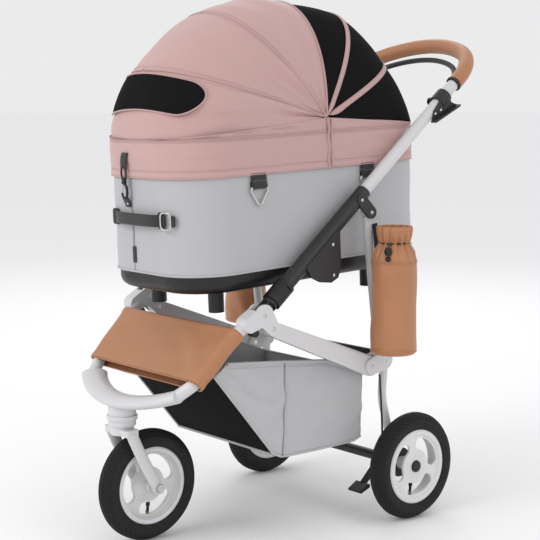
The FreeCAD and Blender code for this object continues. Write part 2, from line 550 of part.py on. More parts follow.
COLLAR_R, COLLAR_BORE = 20.0, SLEEVE_R + 0.3
COLLAR_S0, COLLAR_S1 = 36.0, 86.0
for side, sign in (("right", 1), ("left", -1)):
    x = sign * SIDE_X
    collar = ring(on_slope(x, COLLAR_S0), on_slope(x, COLLAR_S1), COLLAR_R, COLLAR_BORE)
    window = rod(on_slope(x, COLLAR_S0 + 10), on_slope(x, COLLAR_S1 - 8), COLLAR_R + 1)
    outboard = sorted((x + sign * 17, x + sign * 30))
    window = window.common(box(P(outboard[0], -900, 0), P(outboard[1], 900, 900)))
    save("lock_collar_" + side, collar.cut(window))

# ---------------------------------------------------------------- bottle pouches
POUCH_WALL = 2.0
pouch_outline = [(0, POUCH_LOW), (POUCH_R - 5, POUCH_LOW), (POUCH_R, POUCH_LOW + 6), (POUCH_R, POUCH_NECK),
                 (POUCH_R - 16, POUCH_NECK + 34), (POUCH_R - 12, POUCH_TOP)]
for side, sign, y in (("right", 1, -80), ("left", -1, -45)):
    loop = pouch_outline + [(r - POUCH_WALL, z) for r, z in pouch_outline[:2:-1]]
    loop += [(POUCH_R - POUCH_WALL, POUCH_LOW + 8), (POUCH_R - 7, POUCH_LOW + POUCH_WALL),
             (0, POUCH_LOW + POUCH_WALL)]
    points = [P(sign * POUCH_X + r, y, z) for r, z in loop]
    face = Part.Face(Part.makePolygon(points + points[:1]))
    save("pouch_" + side, face.revolve(P(sign * POUCH_X, y, 0), V(0, 0, 1), 360))
toggles = [Part.makeSphere(8, P(sign * (POUCH_X + POUCH_R + 3), y - 6, 592))
           for sign, y in ((1, -80), (-1, -45))]
save("pouch_toggles", *toggles)

# ---------------------------------------------------------------- basket
BASKET_X = 164.0
basket_side = [(-440, 378), (-472, 356), (-321, 176), (-281, 166),
               (-96, 168), (-74, 176), (-68, 316), (-179, 354)]
basket_room = [(-432, 420), (-466, 356.5), (-319, 180.5), (-279.5, 169.5),
               (-97, 171.5), (-77.5, 178), (-71.5, 420)]
basket = slab(-BASKET_X, BASKET_X, basket_side).cut(slab(-BASKET_X + 3, BASKET_X - 3, basket_room))
save("basket_shell", max(basket.Solids, key=lambda s: s.Volume))


# ---------------------------------------------------------------- coach
def tilted(shape):
    turned = shape.copy()
    turned.rotate(P(0, TILT_Y, TILT_Z), V(1, 0, 0), math.degrees(COACH_TILT))
    return turned


def plan(offset, z):
    """The coach's outline in plan: a rounded rectangle, grown by offset."""
    half, front, rear = COACH_HALF_X + offset, COACH_FRONT_Y - offset, COACH_REAR_Y + offset
    corner = COACH_CORNER + offset
    edges = []
    centres = [(half - corner, rear - corner, 0), (corner - half, rear - corner, 90),
               (corner - half, front + corner, 180), (half - corner, front + corner, 270)]
    ends = []
    for x, y, start in centres:
        points = [P(x + corner * math.cos(math.radians(a)), y + corner * math.sin(math.radians(a)), z)
                  for a in (start, start + 45, start + 90)]
        edges.append(Part.Arc(*points).toShape())
        ends.append((points[0], points[2]))
    for k in range(4):
        edges.append(Part.LineSegment(ends[k][1], ends[(k + 1) % 4][0]).toShape())
    return Part.Wire(Part.__sortEdges__(edges))


def prism(offset, low, high):
    return Part.Face(plan(offset, low)).extrude(V(0, 0, high - low))


FOOT_LOW = 483.0
tray = prism(-4, TRAY_LOW, WALL_LOW - 0.2)
tray = tray.makeFillet(22, [e for e in tray.Edges if abs(e.BoundBox.ZMax - TRAY_LOW) < 0.01])
tray = tray.cut(prism(-7, TRAY_LOW + 22, WALL_LOW + 1)).cut(prism(-24, TRAY_LOW + 4, WALL_LOW))
feet = [rod(P(x, y, FOOT_LOW), P(x, y, TRAY_LOW), 16) for x in (-99, 99) for y in (-421, 0)]
wall = prism(0, WALL_LOW, WALL_HIGH).cut(prism(-WALL, WALL_LOW - 1, WALL_HIGH + 1))
for foot in feet:
    tray = tray.fuse(foot)
save("coach_tray", tilted(tray))
save("coach_wall", tilted(wall))
cushion = prism(-12, TRAY_LOW + 22.5, TRAY_LOW + 52)
save("coach_cushion", tilted(cushion))
anchor_out = SIDE_X - SLEEVE_R - 0.6
anchor = box(P(COACH_HALF_X + 0.2, ANCHOR_Y0, ANCHOR_LOW), P(anchor_out, ANCHOR_Y1, ANCHOR_HIGH))
save("coach_anchors", *[tilted(a) for a in both(anchor.makeFillet(4, anchor.Edges))])

RIM_TOP = WALL_HIGH + 6
rim_ring = prism(0, WALL_HIGH + 0.2, RIM_TOP).cut(prism(-WALL, WALL_HIGH, RIM_TOP + 1))
tab_outline = [(PIVOT_Y - 14, RIM_TOP - 3), (PIVOT_Y + 14, RIM_TOP - 3),
               (PIVOT_Y + 9, PIVOT_Z + 7), (PIVOT_Y - 9, PIVOT_Z + 7)]
pivot_tab = slab(COACH_HALF_X - WALL, COACH_HALF_X, tab_outline)
bow_pin = rod(P(146, PIVOT_Y, PIVOT_Z), P(COACH_HALF_X - 1, PIVOT_Y, PIVOT_Z), 4)
half_rim = pivot_tab.fuse(bow_pin)
save("coach_rim", tilted(rim_ring.fuse(half_rim).fuse(mirror(half_rim)).removeSplitter()))

band = prism(BAND_OUT, HEM_Z, PIVOT_Z + 3).cut(prism(BAND_OUT - 2.5, HEM_Z - 1, PIVOT_Z + 4))
far = 500.0
above = [(PIVOT_Y - far, PIVOT_Z - far * math.tan(math.radians(BASE_FRONT))), (PIVOT_Y - 12, PIVOT_Z - 1.4),
         (PIVOT_Y + 12, PIVOT_Z - 1.4), (PIVOT_Y + far, PIVOT_Z - far * math.tan(math.radians(BASE_REAR))),
         (PIVOT_Y + far, PIVOT_Z + far), (PIVOT_Y - far, PIVOT_Z + far)]
save("canopy_band", tilted(band.cut(slab(-far, far, above))))

# the dome is a fan of bows about the pivot axis: angle from the rear, radius and squareness of each
FAN = [(-4.8, 311.6, 4.5), (24.6, 271.7, 3.2), (63.0, 250.6, 2.8), (83.9, 239.5, 2.2),
       (129.0, 282.1, 2.3), (161.8, 345.0, 2.3), (184.2, 357.0, 4.0)]


def fan_at(angle):
    for (a0, r0, n0), (a1, r1, n1) in zip(FAN, FAN[1:]):
        if angle <= a1:
            t = (angle - a0) / (a1 - a0)
            t = min(max(t, 0.0), 1.0)
            return r0 + (r1 - r0) * t, n0 + (n1 - n0) * t
    return FAN[-1][1], FAN[-1][2]


def fan_point(angle, u, inset, half=PIVOT_X):
    """u runs from -1 on the left pivot over the top to 1 on the right pivot."""
    radius, power = fan_at(angle)
    a = u * math.pi / 2.0
    x = (half - inset) * math.copysign(abs(math.sin(a)) ** (2.0 / power), a)
    reach = (radius - inset) * abs(math.cos(a)) ** (2.0 / power)
    turn_by = math.radians(angle)
    return P(x, PIVOT_Y + reach * math.cos(turn_by), PIVOT_Z + reach * math.sin(turn_by))


def fan_curve(angle, inset, half=PIVOT_X, start=12.0):
    """A bow as a smooth curve that begins and ends at radius start from the pivot axis."""
    radius, power = fan_at(angle)
    turn_over = (radius - inset) * math.cos(math.radians(72)) ** (2.0 / power)
    side = []
    for reach in (start, start + (turn_over - start) * 0.33, start + (turn_over - start) * 0.67):
        side.append(math.acos((reach / (radius - inset)) ** (power / 2.0)) * 2.0 / math.pi)
    side += [0.8 * k / 6 for k in (6, 5, 4, 3, 2, 1)]
    stations = [-u for u in side] + [0.0] + side[::-1]
    points = [fan_point(angle, u, inset, half) for u in stations]
    curve = Part.BSplineCurve()
    curve.interpolate(points)
    return curve.toShape(), points[0], points[-1]


def fan_shell(start, end, steps, inset=0.0):
    wires = []
    for k in range(steps + 1):
        angle = start + (end - start) * k / steps
        outer, a0, a1 = fan_curve(angle, inset)
        inner, b0, b1 = fan_curve(angle, inset + CANOPY)
        wires.append(Part.Wire([outer, Part.LineSegment(a1, b1).toShape(), inner,
                                Part.LineSegment(b0, a0).toShape()]))
    return Part.makeLoft(wires, True, True)


def bow_tube_at(angle, half, inset):
    """A bow with a hub eye at each end, bored to turn on its pivot pin."""
    curve, first, last = fan_curve(angle, inset, half + inset, 0.5)
    path = Part.Wire(curve)
    body = sweep(path, BOW_R)
    for end, sign in ((first, -1), (last, 1)):
        hub = rod(end - V(2.7, 0, 0), end + V(2.7, 0, 0), 8)
        body = body.fuse(hub)
    return body.cut(rod(P(-400, PIVOT_Y, PIVOT_Z), P(400, PIVOT_Y, PIVOT_Z), 4 + RUN))


ANGLE_REAR, ANGLE_ZIP, ANGLE_MID, ANGLE_FRONT, ANGLE_BASE = -4.0, 83.9, 129.0, 161.8, 183.6
save("canopy_rear_mesh", tilted(fan_shell(ANGLE_REAR, ANGLE_ZIP, 8)))
save("canopy_rear_panel", tilted(fan_shell(ANGLE_ZIP + 0.4, ANGLE_MID - 0.4, 5)))
save("canopy_mid_panel", tilted(fan_shell(ANGLE_MID + 0.4, ANGLE_FRONT - 0.4, 4)))
save("canopy_front_panel", tilted(fan_shell(ANGLE_FRONT + 0.4, ANGLE_BASE, 3)))
save("canopy_mid_bow", tilted(bow_tube_at(ANGLE_MID, 153.5, 9.0)))
save("canopy_front_bow", tilted(bow_tube_at(ANGLE_FRONT, 160.5, 6.5)))

# carry strap, its mounts, the clip and the rings
STRAP_LOW, STRAP_HIGH = 651.0, 682.0
front_face = COACH_FRONT_Y - 0.4
strap_plan = [(-78, 0), (-60, -14), (60, -14), (78, 0), (62, 0), (52, -9), (-52, -9), (-62, 0)]
strap_points = [P(x, front_face + y, STRAP_LOW + 10) for x, y in strap_plan]
strap = Part.Face(Part.makePolygon(strap_points + strap_points[:1])).extrude(V(0, 0, STRAP_HIGH - STRAP_LOW))
strap = strap.cut(prism(0.3, 600, 760))
save("carry_strap", tilted(strap))
clip = box(P(-51, front_face - 7, 700), P(-27, front_face - 4.4, 800))
clip = clip.fuse(box(P(-48, front_face - 4.5, 700), P(-30, front_face, 722)))
save("clip_strap", tilted(clip.cut(prism(BAND_OUT + 0.2, HEM_Z - 5, 830))))
RING_OUT, RING_WIRE_R = 5.6, 2.4   # how far the wire's middle stands off the wall, and the wire's radius
WEB_THICK, WEB_HALF = 2.4, 24.0
rings, webs = [], []
for y in (-358.0, -60.0):
    face = COACH_HALF_X + 0.3
    web = slab(face, face + WEB_THICK, [(y - WEB_HALF, 735), (y + WEB_HALF, 735),
                                        (y + WEB_HALF, 754), (y - WEB_HALF, 754)])
    corners = [P(face + RING_OUT, y - 26, 733), P(face + RING_OUT, y + 26, 733), P(face + RING_OUT, y, 692)]
    top_middle = (corners[0] + corners[1]) / 2
    outline = rounded_path([top_middle, corners[1], corners[2], corners[0], top_middle], [6, 6, 6])
    rings += both(sweep(outline, RING_WIRE_R))
    webs += both(web)
save("anchor_rings", *[tilted(r) for r in rings])
save("ring_webbing", *[tilted(w) for w in webs])
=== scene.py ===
import json
import math

import bmesh
import bpy
import numpy as np
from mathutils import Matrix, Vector

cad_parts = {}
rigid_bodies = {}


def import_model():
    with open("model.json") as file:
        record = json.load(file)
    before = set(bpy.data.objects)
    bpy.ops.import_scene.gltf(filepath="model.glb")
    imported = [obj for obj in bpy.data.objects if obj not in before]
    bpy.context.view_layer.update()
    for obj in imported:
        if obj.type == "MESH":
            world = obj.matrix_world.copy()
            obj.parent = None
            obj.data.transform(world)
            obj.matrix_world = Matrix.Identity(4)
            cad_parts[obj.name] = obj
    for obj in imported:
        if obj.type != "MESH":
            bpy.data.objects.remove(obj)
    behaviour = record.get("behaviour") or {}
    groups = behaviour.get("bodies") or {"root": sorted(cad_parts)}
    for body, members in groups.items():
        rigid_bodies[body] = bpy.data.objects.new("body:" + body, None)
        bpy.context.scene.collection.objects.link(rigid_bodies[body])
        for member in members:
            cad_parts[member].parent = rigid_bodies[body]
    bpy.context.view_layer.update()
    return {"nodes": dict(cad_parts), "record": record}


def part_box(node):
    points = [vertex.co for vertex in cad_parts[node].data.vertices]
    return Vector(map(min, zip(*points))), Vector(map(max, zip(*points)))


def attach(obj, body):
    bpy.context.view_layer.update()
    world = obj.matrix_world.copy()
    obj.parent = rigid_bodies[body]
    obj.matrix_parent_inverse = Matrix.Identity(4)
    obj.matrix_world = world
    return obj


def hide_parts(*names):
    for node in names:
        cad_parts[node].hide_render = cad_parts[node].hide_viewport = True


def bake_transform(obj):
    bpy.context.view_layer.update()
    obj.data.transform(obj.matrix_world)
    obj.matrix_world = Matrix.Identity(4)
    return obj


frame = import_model()
NODES = frame["nodes"]

# -------- main dimensions, shared with the CAD parts
AXLE_LOW, AXLE_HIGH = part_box("rear_axle")
Y0 = (AXLE_LOW.y + AXLE_HIGH.y) / 2.0        # every local y below is measured from the rear axle
TILT = math.radians(2.6)                     # the coach rises this much toward its rear
COS_T, SIN_T = math.cos(TILT), math.sin(TILT)
HALF_X, FRONT_Y, REAR_Y, CORNER = 0.167, -0.524, 0.134, 0.106
WALL_LOW, HEM_Z = 0.5645, 0.757
PIVOT_Y, PIVOT_Z, PIVOT_X = -0.173, 0.861, 0.173
# along the dome: angle in degrees from the rear, radius, fullness of the section there
FAN = np.array([(-4.8, .3116, 4.5), (24.6, .2717, 3.2), (63.0, .2506, 2.8), (83.9, .2395, 2.2),
                (129.0, .2821, 2.3), (161.8, .3450, 2.3), (184.2, .3570, 4.0)])
ANGLE_REAR, ANGLE_B, ANGLE_A, ANGLE_ZIP = -4.8, 24.6, 60.0, 87.5
ANGLE_MID, ANGLE_FRONT, ANGLE_BASE = 129.0, 161.8, 184.4
WHEEL_R = .115
FOLD_Y, FOLD_Z = -.381, .4745                # main fold pivot
HANDLE_SLOPE, BOW_SLOPE = math.radians(39.8), math.radians(35)
BOW_START = .714                             # along the handle's slope, from the fold pivot


def tilted(x, y, z):
    """Coach coordinates (level, y from the rear axle) to the row frame."""
    x, y, z = np.broadcast_arrays(np.asarray(x, float), y, z)
    return np.stack([x, -.2 + (y + .2) * COS_T - (z - .6) * SIN_T + Y0,
                     .6 + (y + .2) * SIN_T + (z - .6) * COS_T], -1)


def placed(x, y, z):
    """Frame coordinates (y from the rear axle) to the row frame."""
    x, y, z = np.broadcast_arrays(np.asarray(x, float), y, z)
    return np.stack([x, y + Y0, z], -1)


# -------- material building
class Graph:
    """A small helper round one material's node tree."""

    def __init__(self, name, color, rough, metallic=0.0, **extra):
        self.mat = bpy.data.materials.new(name)
        self.mat.use_nodes = True
        self.nt = self.mat.node_tree
        self.bsdf = self.nt.nodes["Principled BSDF"]
        self.bsdf.inputs["Base Color"].default_value = (*color, 1)
        self.bsdf.inputs["Roughness"].default_value = rough
        self.bsdf.inputs["Metallic"].default_value = metallic
        for key, value in extra.items():
            self.bsdf.inputs[key.replace("_", " ")].default_value = value
        self.color = color
        self.height = None

    def node(self, kind, inputs=(), **props):
        n = self.nt.nodes.new(kind)
        for key, value in props.items():
            setattr(n, key, value)
        for key, value in dict(inputs).items():
            if isinstance(value, bpy.types.NodeSocket):
                self.nt.links.new(value, n.inputs[key])
            else:
                n.inputs[key].default_value = value
        return n

    def coords(self, kind="Object"):
        return self.node("ShaderNodeTexCoord").outputs[kind]

    def noise(self, scale, detail):
        return self.node("ShaderNodeTexNoise", {"Vector": self.coords(), "Scale": scale, "Detail": detail,
                                                "Roughness": .5}).outputs["Fac"]

    def math(self, op, a, b=0.0, c=0.0):
        return self.node("ShaderNodeMath", {0: a, 1: b, 2: c}, operation=op).outputs[0]

    def span(self, value, low, high):
        return self.node("ShaderNodeMapRange", {"Value": value, "To Min": low, "To Max": high}).outputs[0]

    def ramp(self, value, start, end):
        """0 below start, 1 above end."""
        return self.node("ShaderNodeMapRange", {"Value": value, "From Min": start,
                                                "From Max": end}).outputs[0]

    def vary(self, fac, dark, light):
        """Colour runs between two multiples of the base colour."""
        a = tuple(c * dark for c in self.color) + (1,)
        b = tuple(min(c * light, 1) for c in self.color) + (1,)
        mix = self.node("ShaderNodeMix", data_type="RGBA")
        mix.inputs[6].default_value = a
        mix.inputs[7].default_value = b
        self.nt.links.new(fac, mix.inputs[0])
        self.nt.links.new(mix.outputs[2], self.bsdf.inputs["Base Color"])
        return self

    def rough(self, fac, low, high):
        self.nt.links.new(self.span(fac, low, high), self.bsdf.inputs["Roughness"])
        return self

    def bump(self, height, strength, distance):
        b = self.node("ShaderNodeBump", {"Height": height, "Strength": strength, "Distance": distance})
        if self.height is not None:
            self.nt.links.new(self.height, b.inputs["Normal"])
        self.height = b.outputs[0]
        self.nt.links.new(self.height, self.bsdf.inputs["Normal"])
        return self

    def weave(self, pitch):
        """Over-under threads, pitch in metres, on the UV map (which is in metres)."""
        uv = self.node("ShaderNodeSeparateXYZ", {0: self.coords("UV")})
        k = 2 * math.pi / pitch
        u = self.math("SINE", self.math("MULTIPLY", uv.outputs[0], k))
        v = self.math("SINE", self.math("MULTIPLY", uv.outputs[1], k))
        return self.math("MULTIPLY_ADD", self.math("MULTIPLY", u, v), .5, .5)


def painted(name, color, rough=.36, flake=.02):
    g = Graph(name, color, rough, Coat_Weight=.08, Coat_Roughness=.3)
    big = g.noise(9, 4)
    fine = g.noise(900, 2)
    g.vary(big, 1 - flake * 2, 1 + flake).rough(big, rough - .05, rough + .07)
    g.bump(fine, .12, .0002)
    return g.mat


def plastic(name, color, rough, grain=.2, coat=0.0):
    g = Graph(name, color, rough, Coat_Weight=coat, Coat_Roughness=.08)
    cloud = g.noise(14, 4)
    g.vary(cloud, .82, 1.15).rough(cloud, max(rough - .06, .04), rough + .08)
    g.bump(g.noise(1400, 2), grain, .0002)
    return g.mat


def metal(name, color, rough):
    g = Graph(name, color, rough, metallic=1.0)
    cloud = g.noise(120, 4)
    g.vary(cloud, .8, 1.1).rough(cloud, rough - .08, rough + .12)
    g.bump(g.noise(2500, 2), .15, .0001)
    return g.mat


def cloth(name, color, pitch=.0011, rough=.86, mottled=.06, weave=.35, sheen=.25):
    g = Graph(name, color, rough, Sheen_Weight=sheen, Sheen_Roughness=.5)
    threads = g.weave(pitch)
    cloud = g.noise(16, 5)
    speck = g.noise(700, 2)
    mixed = g.math("MULTIPLY_ADD", cloud, .55, g.math("MULTIPLY", speck, .45))
    g.vary(mixed, 1 - mottled * 2, 1 + mottled * 1.4).rough(speck, rough - .08, min(rough + .08, 1))
    g.bump(g.noise(60, 4), .25, .002)
    g.bump(threads, weave, .0003)
    return g.mat


def mesh_net(name, color, pitch=.0022, solid=.95):
    """Open knitted net: dark threads, see-through between them."""
    g = Graph(name, color, .92, Specular_IOR_Level=.12)
    knots = g.weave(pitch)
    g.vary(knots, .5, 1.9)
    g.bump(knots, .6, .0006)
    hole = g.math("GREATER_THAN", knots, .9)
    alpha = g.span(hole, 1.0, 1.0 - (1.0 - solid) * 3)
    g.nt.links.new(alpha, g.bsdf.inputs["Alpha"])
    return g.mat


def leather(name, color):
    g = Graph(name, color, .5, Coat_Weight=.12, Coat_Roughness=.35, Sheen_Weight=.08)
    cells = g.node("ShaderNodeTexVoronoi", {"Vector": g.coords(), "Scale": 1500.0},
                   feature="DISTANCE_TO_EDGE").outputs["Distance"]
    cloud = g.noise(11, 5)
    fine = g.noise(260, 4)
    mixed = g.math("MULTIPLY_ADD", cloud, .65, g.math("MULTIPLY", fine, .35))
    g.vary(mixed, .84, 1.14).rough(fine, .42, .62)
    g.bump(g.noise(45, 4), .18, .0018)
    g.bump(g.math("MINIMUM", cells, .12), .35, .0012)
    return g.mat


def rubber_tyre(name, centre):
    """Tread worked out round one wheel: shoulder sipes and a ribbed crown."""
    g = Graph(name, (.016, .0155, .017), .82, Specular_IOR_Level=.3)
    at = g.node("ShaderNodeVectorMath", {0: g.coords(), 1: tuple(centre)}, operation="SUBTRACT").outputs[0]
    xyz = g.node("ShaderNodeSeparateXYZ", {0: at})
    x, y, z = xyz.outputs
    angle = g.math("ARCTAN2", z, y)
    radius = g.math("SQRT", g.math("ADD", g.math("POWER", y, 2.0), g.math("POWER", z, 2.0)))
    width = g.math("ABSOLUTE", x)
    lean = g.math("MULTIPLY_ADD", width, 26.0, angle)
    blocks = g.math("SINE", g.math("MULTIPLY", lean, 54.0))
    blocks = g.ramp(blocks, -.35, .15)
    shoulder = g.ramp(width, .0085, .0105)
    tread = g.ramp(radius, .1005, .1025)
    ribs = g.ramp(g.math("SINE", g.math("MULTIPLY", width, 1500.0)), -.6, 0.0)
    crown = g.math("SUBTRACT", 1.0, shoulder)
    pattern = g.math("ADD", g.math("MULTIPLY", blocks, shoulder), g.math("MULTIPLY", ribs, crown))
    height = g.math("ADD", g.math("MULTIPLY", pattern, tread), g.math("SUBTRACT", 1.0, tread))
    # painted shade: the colour is darkest in the tread grooves and mottled by noise on the raised blocks and
    # the sidewall
    g.vary(g.math("MULTIPLY", height, g.noise(30, 4)), .6, 1.6)
    g.bump(g.noise(1100, 3), .25, .0003)
    g.bump(height, 1.0, .0022)
    return g.mat


PINK = (.545, .345, .325)
TAN = (.44, .190, .083)
MAT = {
    "frame_white": painted("paint_white", (.65, .64, .65), .36),
    "frame_charcoal": painted("paint_charcoal", (.014, .0135, .014), .42),
    "rim_white": plastic("rim_white", (.70, .695, .70), .42, .12, .1),
    "gloss_black": plastic("gloss_black", (.003, .003, .0032), .42, .03, .02),
    "black_plastic": plastic("black_plastic", (.014, .014, .015), .42, .3),
    "rubber_black": plastic("rubber_black", (.018, .018, .018), .75, .4),
    "steel": metal("zinc_steel", (.62, .61, .6), .3),
    "tan_leather": leather("tan_leather", TAN),
    "wall_grey": cloth("wall_grey", (.46, .46, .475), .0009, .62, .02, .12, .1),
    "basket_grey": cloth("basket_grey", (.50, .50, .51), .0012, .8, .04, .3, .2),
    "inner_plastic": plastic("inner_plastic", (.02, .02, .02), .5, .2),
    "cushion_grey": cloth("cushion_grey", (.16, .16, .165), .0016, .95, .1, .5, .4),
    "canopy_pink": cloth("canopy_pink", PINK, .0010, .84, .03, .3, .3),
    "piping_pink": cloth("piping_pink", tuple(c * .92 for c in PINK), .0008, .84, .05, .3, .3),
    "mesh_black": mesh_net("mesh_black", (.006, .0058, .006)),
    "webbing": cloth("webbing", (.016, .016, .017), .0024, .7, .15, .8, .2),
    "thread_pink": cloth("thread_pink", (.50, .33, .315), .0006, .8, .05, .2, .2),
    "thread_tan": cloth("thread_tan", (.36, .17, .08), .0006, .7, .1, .2, .2),
    "thread_grey": cloth("thread_grey", (.30, .30, .31), .0006, .8, .05, .2, .2),
    "dark_lining": cloth("dark_lining", (.02, .02, .021), .0012, .9, .1, .3, .1),
}

# looks that several pieces share: material, body and slot
WEB = (MAT["webbing"], "coach", "webbing")
BAG_WEB = (MAT["webbing"], "chassis", "webbing")
GLOSS = (MAT["gloss_black"], "coach", "gloss_black")
BAG_GLOSS = (MAT["gloss_black"], "chassis", "gloss_black")
STEEL = (MAT["steel"], "coach", "steel")
BAG_TAN = (MAT["tan_leather"], "chassis", "tan_leather")
BAG_THREAD = (MAT["thread_tan"], "chassis", "tan_leather")
REST_TAN = (MAT["tan_leather"], "front_frame", "tan_leather")
COACH_PIPING = (MAT["piping_pink"], "coach", "canopy_pink")
WALL = (MAT["wall_grey"], "coach", "wall_grey")
WALL_THREAD = (MAT["thread_grey"], "coach", "wall_grey")
WEB_THREAD = (MAT["thread_grey"], "coach", "webbing")
BASKET = (MAT["basket_grey"], None, "wall_grey")


def dress(name, mat):
    o = NODES[name]
    o.data.materials.clear()
    o.data.materials.append(mat)


for row in frame["record"]["subparts"]:
    if row["material_slot"] in MAT:
        dress(row["node"], MAT[row["material_slot"]])
for name in ("front_tyre", "rear_tyre_left", "rear_tyre_right"):
    low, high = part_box(name)
    dress(name, rubber_tyre("tread_" + name, (low + high) / 2))
brass = metal("valve_brass", (.55, .40, .16), .3)


# -------- mesh building
def new_mesh(name, verts, faces, material, body, uvs):
    data = bpy.data.meshes.new(name)
    data.from_pydata([tuple(v) for v in verts], [], faces)
    o = bpy.data.objects.new(name, data)
    bpy.context.scene.collection.objects.link(o)
    data.materials.append(material)
    layer = data.uv_layers.new(name="UVMap")
    layer.data.foreach_set("uv", np.array([uvs[i] for face in faces for i in face], float).reshape(-1))
    for p in data.polygons:
        p.use_smooth = True
    if body:
        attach(o, body)
    return o


def circle(count):
    """Angles once round, in radians."""
    return np.linspace(0, 2 * math.pi, count, endpoint=False)


def travelled(line):
    """Distance along a line at each of its points, from 0."""
    return np.concatenate([[0], np.cumsum(np.linalg.norm(np.diff(line, axis=0), axis=1))])


def clean(o, merge=0.0):
    """Turn the normals out; merge also joins points closer than that distance."""
    bm = bmesh.new()
    bm.from_mesh(o.data)
    if merge:
        bmesh.ops.remove_doubles(bm, verts=bm.verts, dist=merge)
    bmesh.ops.recalc_face_normals(bm, faces=bm.faces)
    bm.to_mesh(o.data)
    bm.free()


def ring_faces(rows, cols):
    """Quads between closed rings of points, one ring a row."""
    return [[i * cols + j, i * cols + (j + 1) % cols, (i + 1) * cols + (j + 1) % cols, (i + 1) * cols + j]
            for i in range(rows - 1) for j in range(cols)]


def thick_grid(name, points, thickness, material, body, slot, wrap=False, invert=False):
    """A cloth sheet from a grid of points, given real thickness inwards, with UVs in metres."""
    rows, cols = points.shape[:2]
    du = np.gradient(points, axis=0)
    dv = np.gradient(points, axis=1) if not wrap else (np.roll(points, -1, 1) - np.roll(points, 1, 1)) / 2
    normal = np.cross(du, dv)
    normal /= np.maximum(np.linalg.norm(normal, axis=2, keepdims=True), 1e-9)
    if invert:
        normal = -normal
    outer = points.reshape(-1, 3)
    inner = (points - normal * thickness).reshape(-1, 3)
    step_u = np.linalg.norm(np.diff(points, axis=0), axis=2).mean(1)
    step_v = np.linalg.norm(np.diff(points, axis=1), axis=2).mean(0)
    u = np.concatenate([[0], np.cumsum(step_u)])
    v = np.concatenate([[0], np.cumsum(step_v)])
    uv = np.stack(np.meshgrid(u, v, indexing="ij"), -1).reshape(-1, 2)
    index = np.arange(rows * cols).reshape(rows, cols)
    last = cols if wrap else cols - 1
    faces = []
    shift = rows * cols
    for i in range(rows - 1):
        for j in range(last):
            k = (j + 1) % cols
            quad = [index[i, j], index[i + 1, j], index[i + 1, k], index[i, k]]
            if invert:
                quad = quad[::-1]
            faces.append(quad)
            faces.append([q + shift for q in quad[::-1]])
    edges = [[index[0, j] for j in range(cols)], [index[-1, j] for j in range(cols)]]
    if not wrap:
        edges += [[index[i, 0] for i in range(rows)], [index[i, -1] for i in range(rows)]]
    for line in edges:
        pairs = list(zip(line, line[1:])) + ([(line[-1], line[0])] if wrap else [])
        for a, b in pairs:
            faces.append([a, b, b + shift, a + shift])
    faces = [[int(q) for q in face] for face in faces]
    o = new_mesh(name, np.concatenate([outer, inner]), faces, material, None,
                 np.concatenate([uv, uv]))
    clean(o)
    if body:
        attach(o, body)
    return o


def tube(name, points, radius, material, body, slot, sides=10, closed=False, flat=1.0, up=None):
    """A swept round or flattened bar along points."""
    pts = np.asarray(points, float)
    n = len(pts)
    along = np.roll(pts, -1, 0) - np.roll(pts, 1, 0)
    if not closed:
        along[0], along[-1] = pts[1] - pts[0], pts[-1] - pts[-2]
    along /= np.maximum(np.linalg.norm(along, axis=1, keepdims=True), 1e-9)
    radii = np.broadcast_to(np.asarray(radius, float), (n,))
    side = np.cross(along[0], up if up is not None else (0, 0, 1.0))
    if np.linalg.norm(side) < 1e-3:
        side = np.cross(along[0], (0, 1.0, 0))
    rings = []
    for i in range(n):
        if up is not None:
            side = np.cross(along[i], up)
        side = side - along[i] * np.dot(side, along[i])
        side /= max(np.linalg.norm(side), 1e-9)
        top = np.cross(side, along[i])
        a = circle(sides)
        rings.append(pts[i] + radii[i] * (np.outer(np.cos(a), side) + flat * np.outer(np.sin(a), top)))
    verts = np.concatenate(rings)
    faces, uvs = [], []
    travel = travelled(pts)
    for i in range(n):
        uvs += [(travel[i], radii[i] * 2 * math.pi * k / sides) for k in range(sides)]
    for i in range(n if closed else n - 1):
        j = (i + 1) % n
        for k in range(sides):
            m = (k + 1) % sides
            faces.append([i * sides + k, j * sides + k, j * sides + m, i * sides + m])
    if not closed:
        faces.append(list(range(sides))[::-1])
        faces.append([(n - 1) * sides + k for k in range(sides)])
    return new_mesh(name, verts, faces, material, body, uvs)


def resample(points, step):
    pts = np.asarray(points, float)
    travel = travelled(pts)
    count = max(int(travel[-1] / step), 2)
    t = np.linspace(0, travel[-1], count + 1)
    return np.stack([np.interp(t, travel, pts[:, k]) for k in range(3)], 1)


def stitches(name, points, material, body, slot, pitch=.0042, length=.0028, radius=.00042):
    """A row of sewn thread dashes along a line, one mesh."""
    line = resample(points, pitch)
    verts, faces = [], []
    for a, b in zip(line[:-1], line[1:]):
        d = (b - a) / max(np.linalg.norm(b - a), 1e-9)
        mid = (a + b) / 2
        side = np.cross(d, (.3, .5, .8))
        side /= np.linalg.norm(side)
        top = np.cross(side, d)
        base = len(verts)
        for at, r in ((-.5, .35), (-.3, 1), (.3, 1), (.5, .35)):
            for k in range(6):
                w = k * math.pi / 3
                verts.append(mid + d * at * length + radius * r * (math.cos(w) * side + math.sin(w) * top))
        for ring in range(3):
            for k in range(6):
                p, q = base + ring * 6, base + ring * 6 + 6
                faces.append([p + k, q + k, q + (k + 1) % 6, p + (k + 1) % 6])
        faces.append([base + k for k in range(5, -1, -1)])
        faces.append([base + 18 + k for k in range(6)])
    uvs = [(0, 0)] * len(verts)
    return new_mesh(name, verts, faces, material, body, uvs)


def waves(seed, count, low, high):
    """A smooth random field of two variables, about 1 in size."""
    r = np.random.default_rng(seed)
    terms = [(r.uniform(low, high) * r.choice([-1, 1]), r.uniform(low, high), r.uniform(0, 6.28),
              r.uniform(.4, 1)) for _ in range(count)]
    total = math.sqrt(sum(t[3] ** 2 for t in terms) / 2)
    return lambda a, b: sum(w * np.sin(p * a + q * b + f) for p, q, f, w in terms) / total


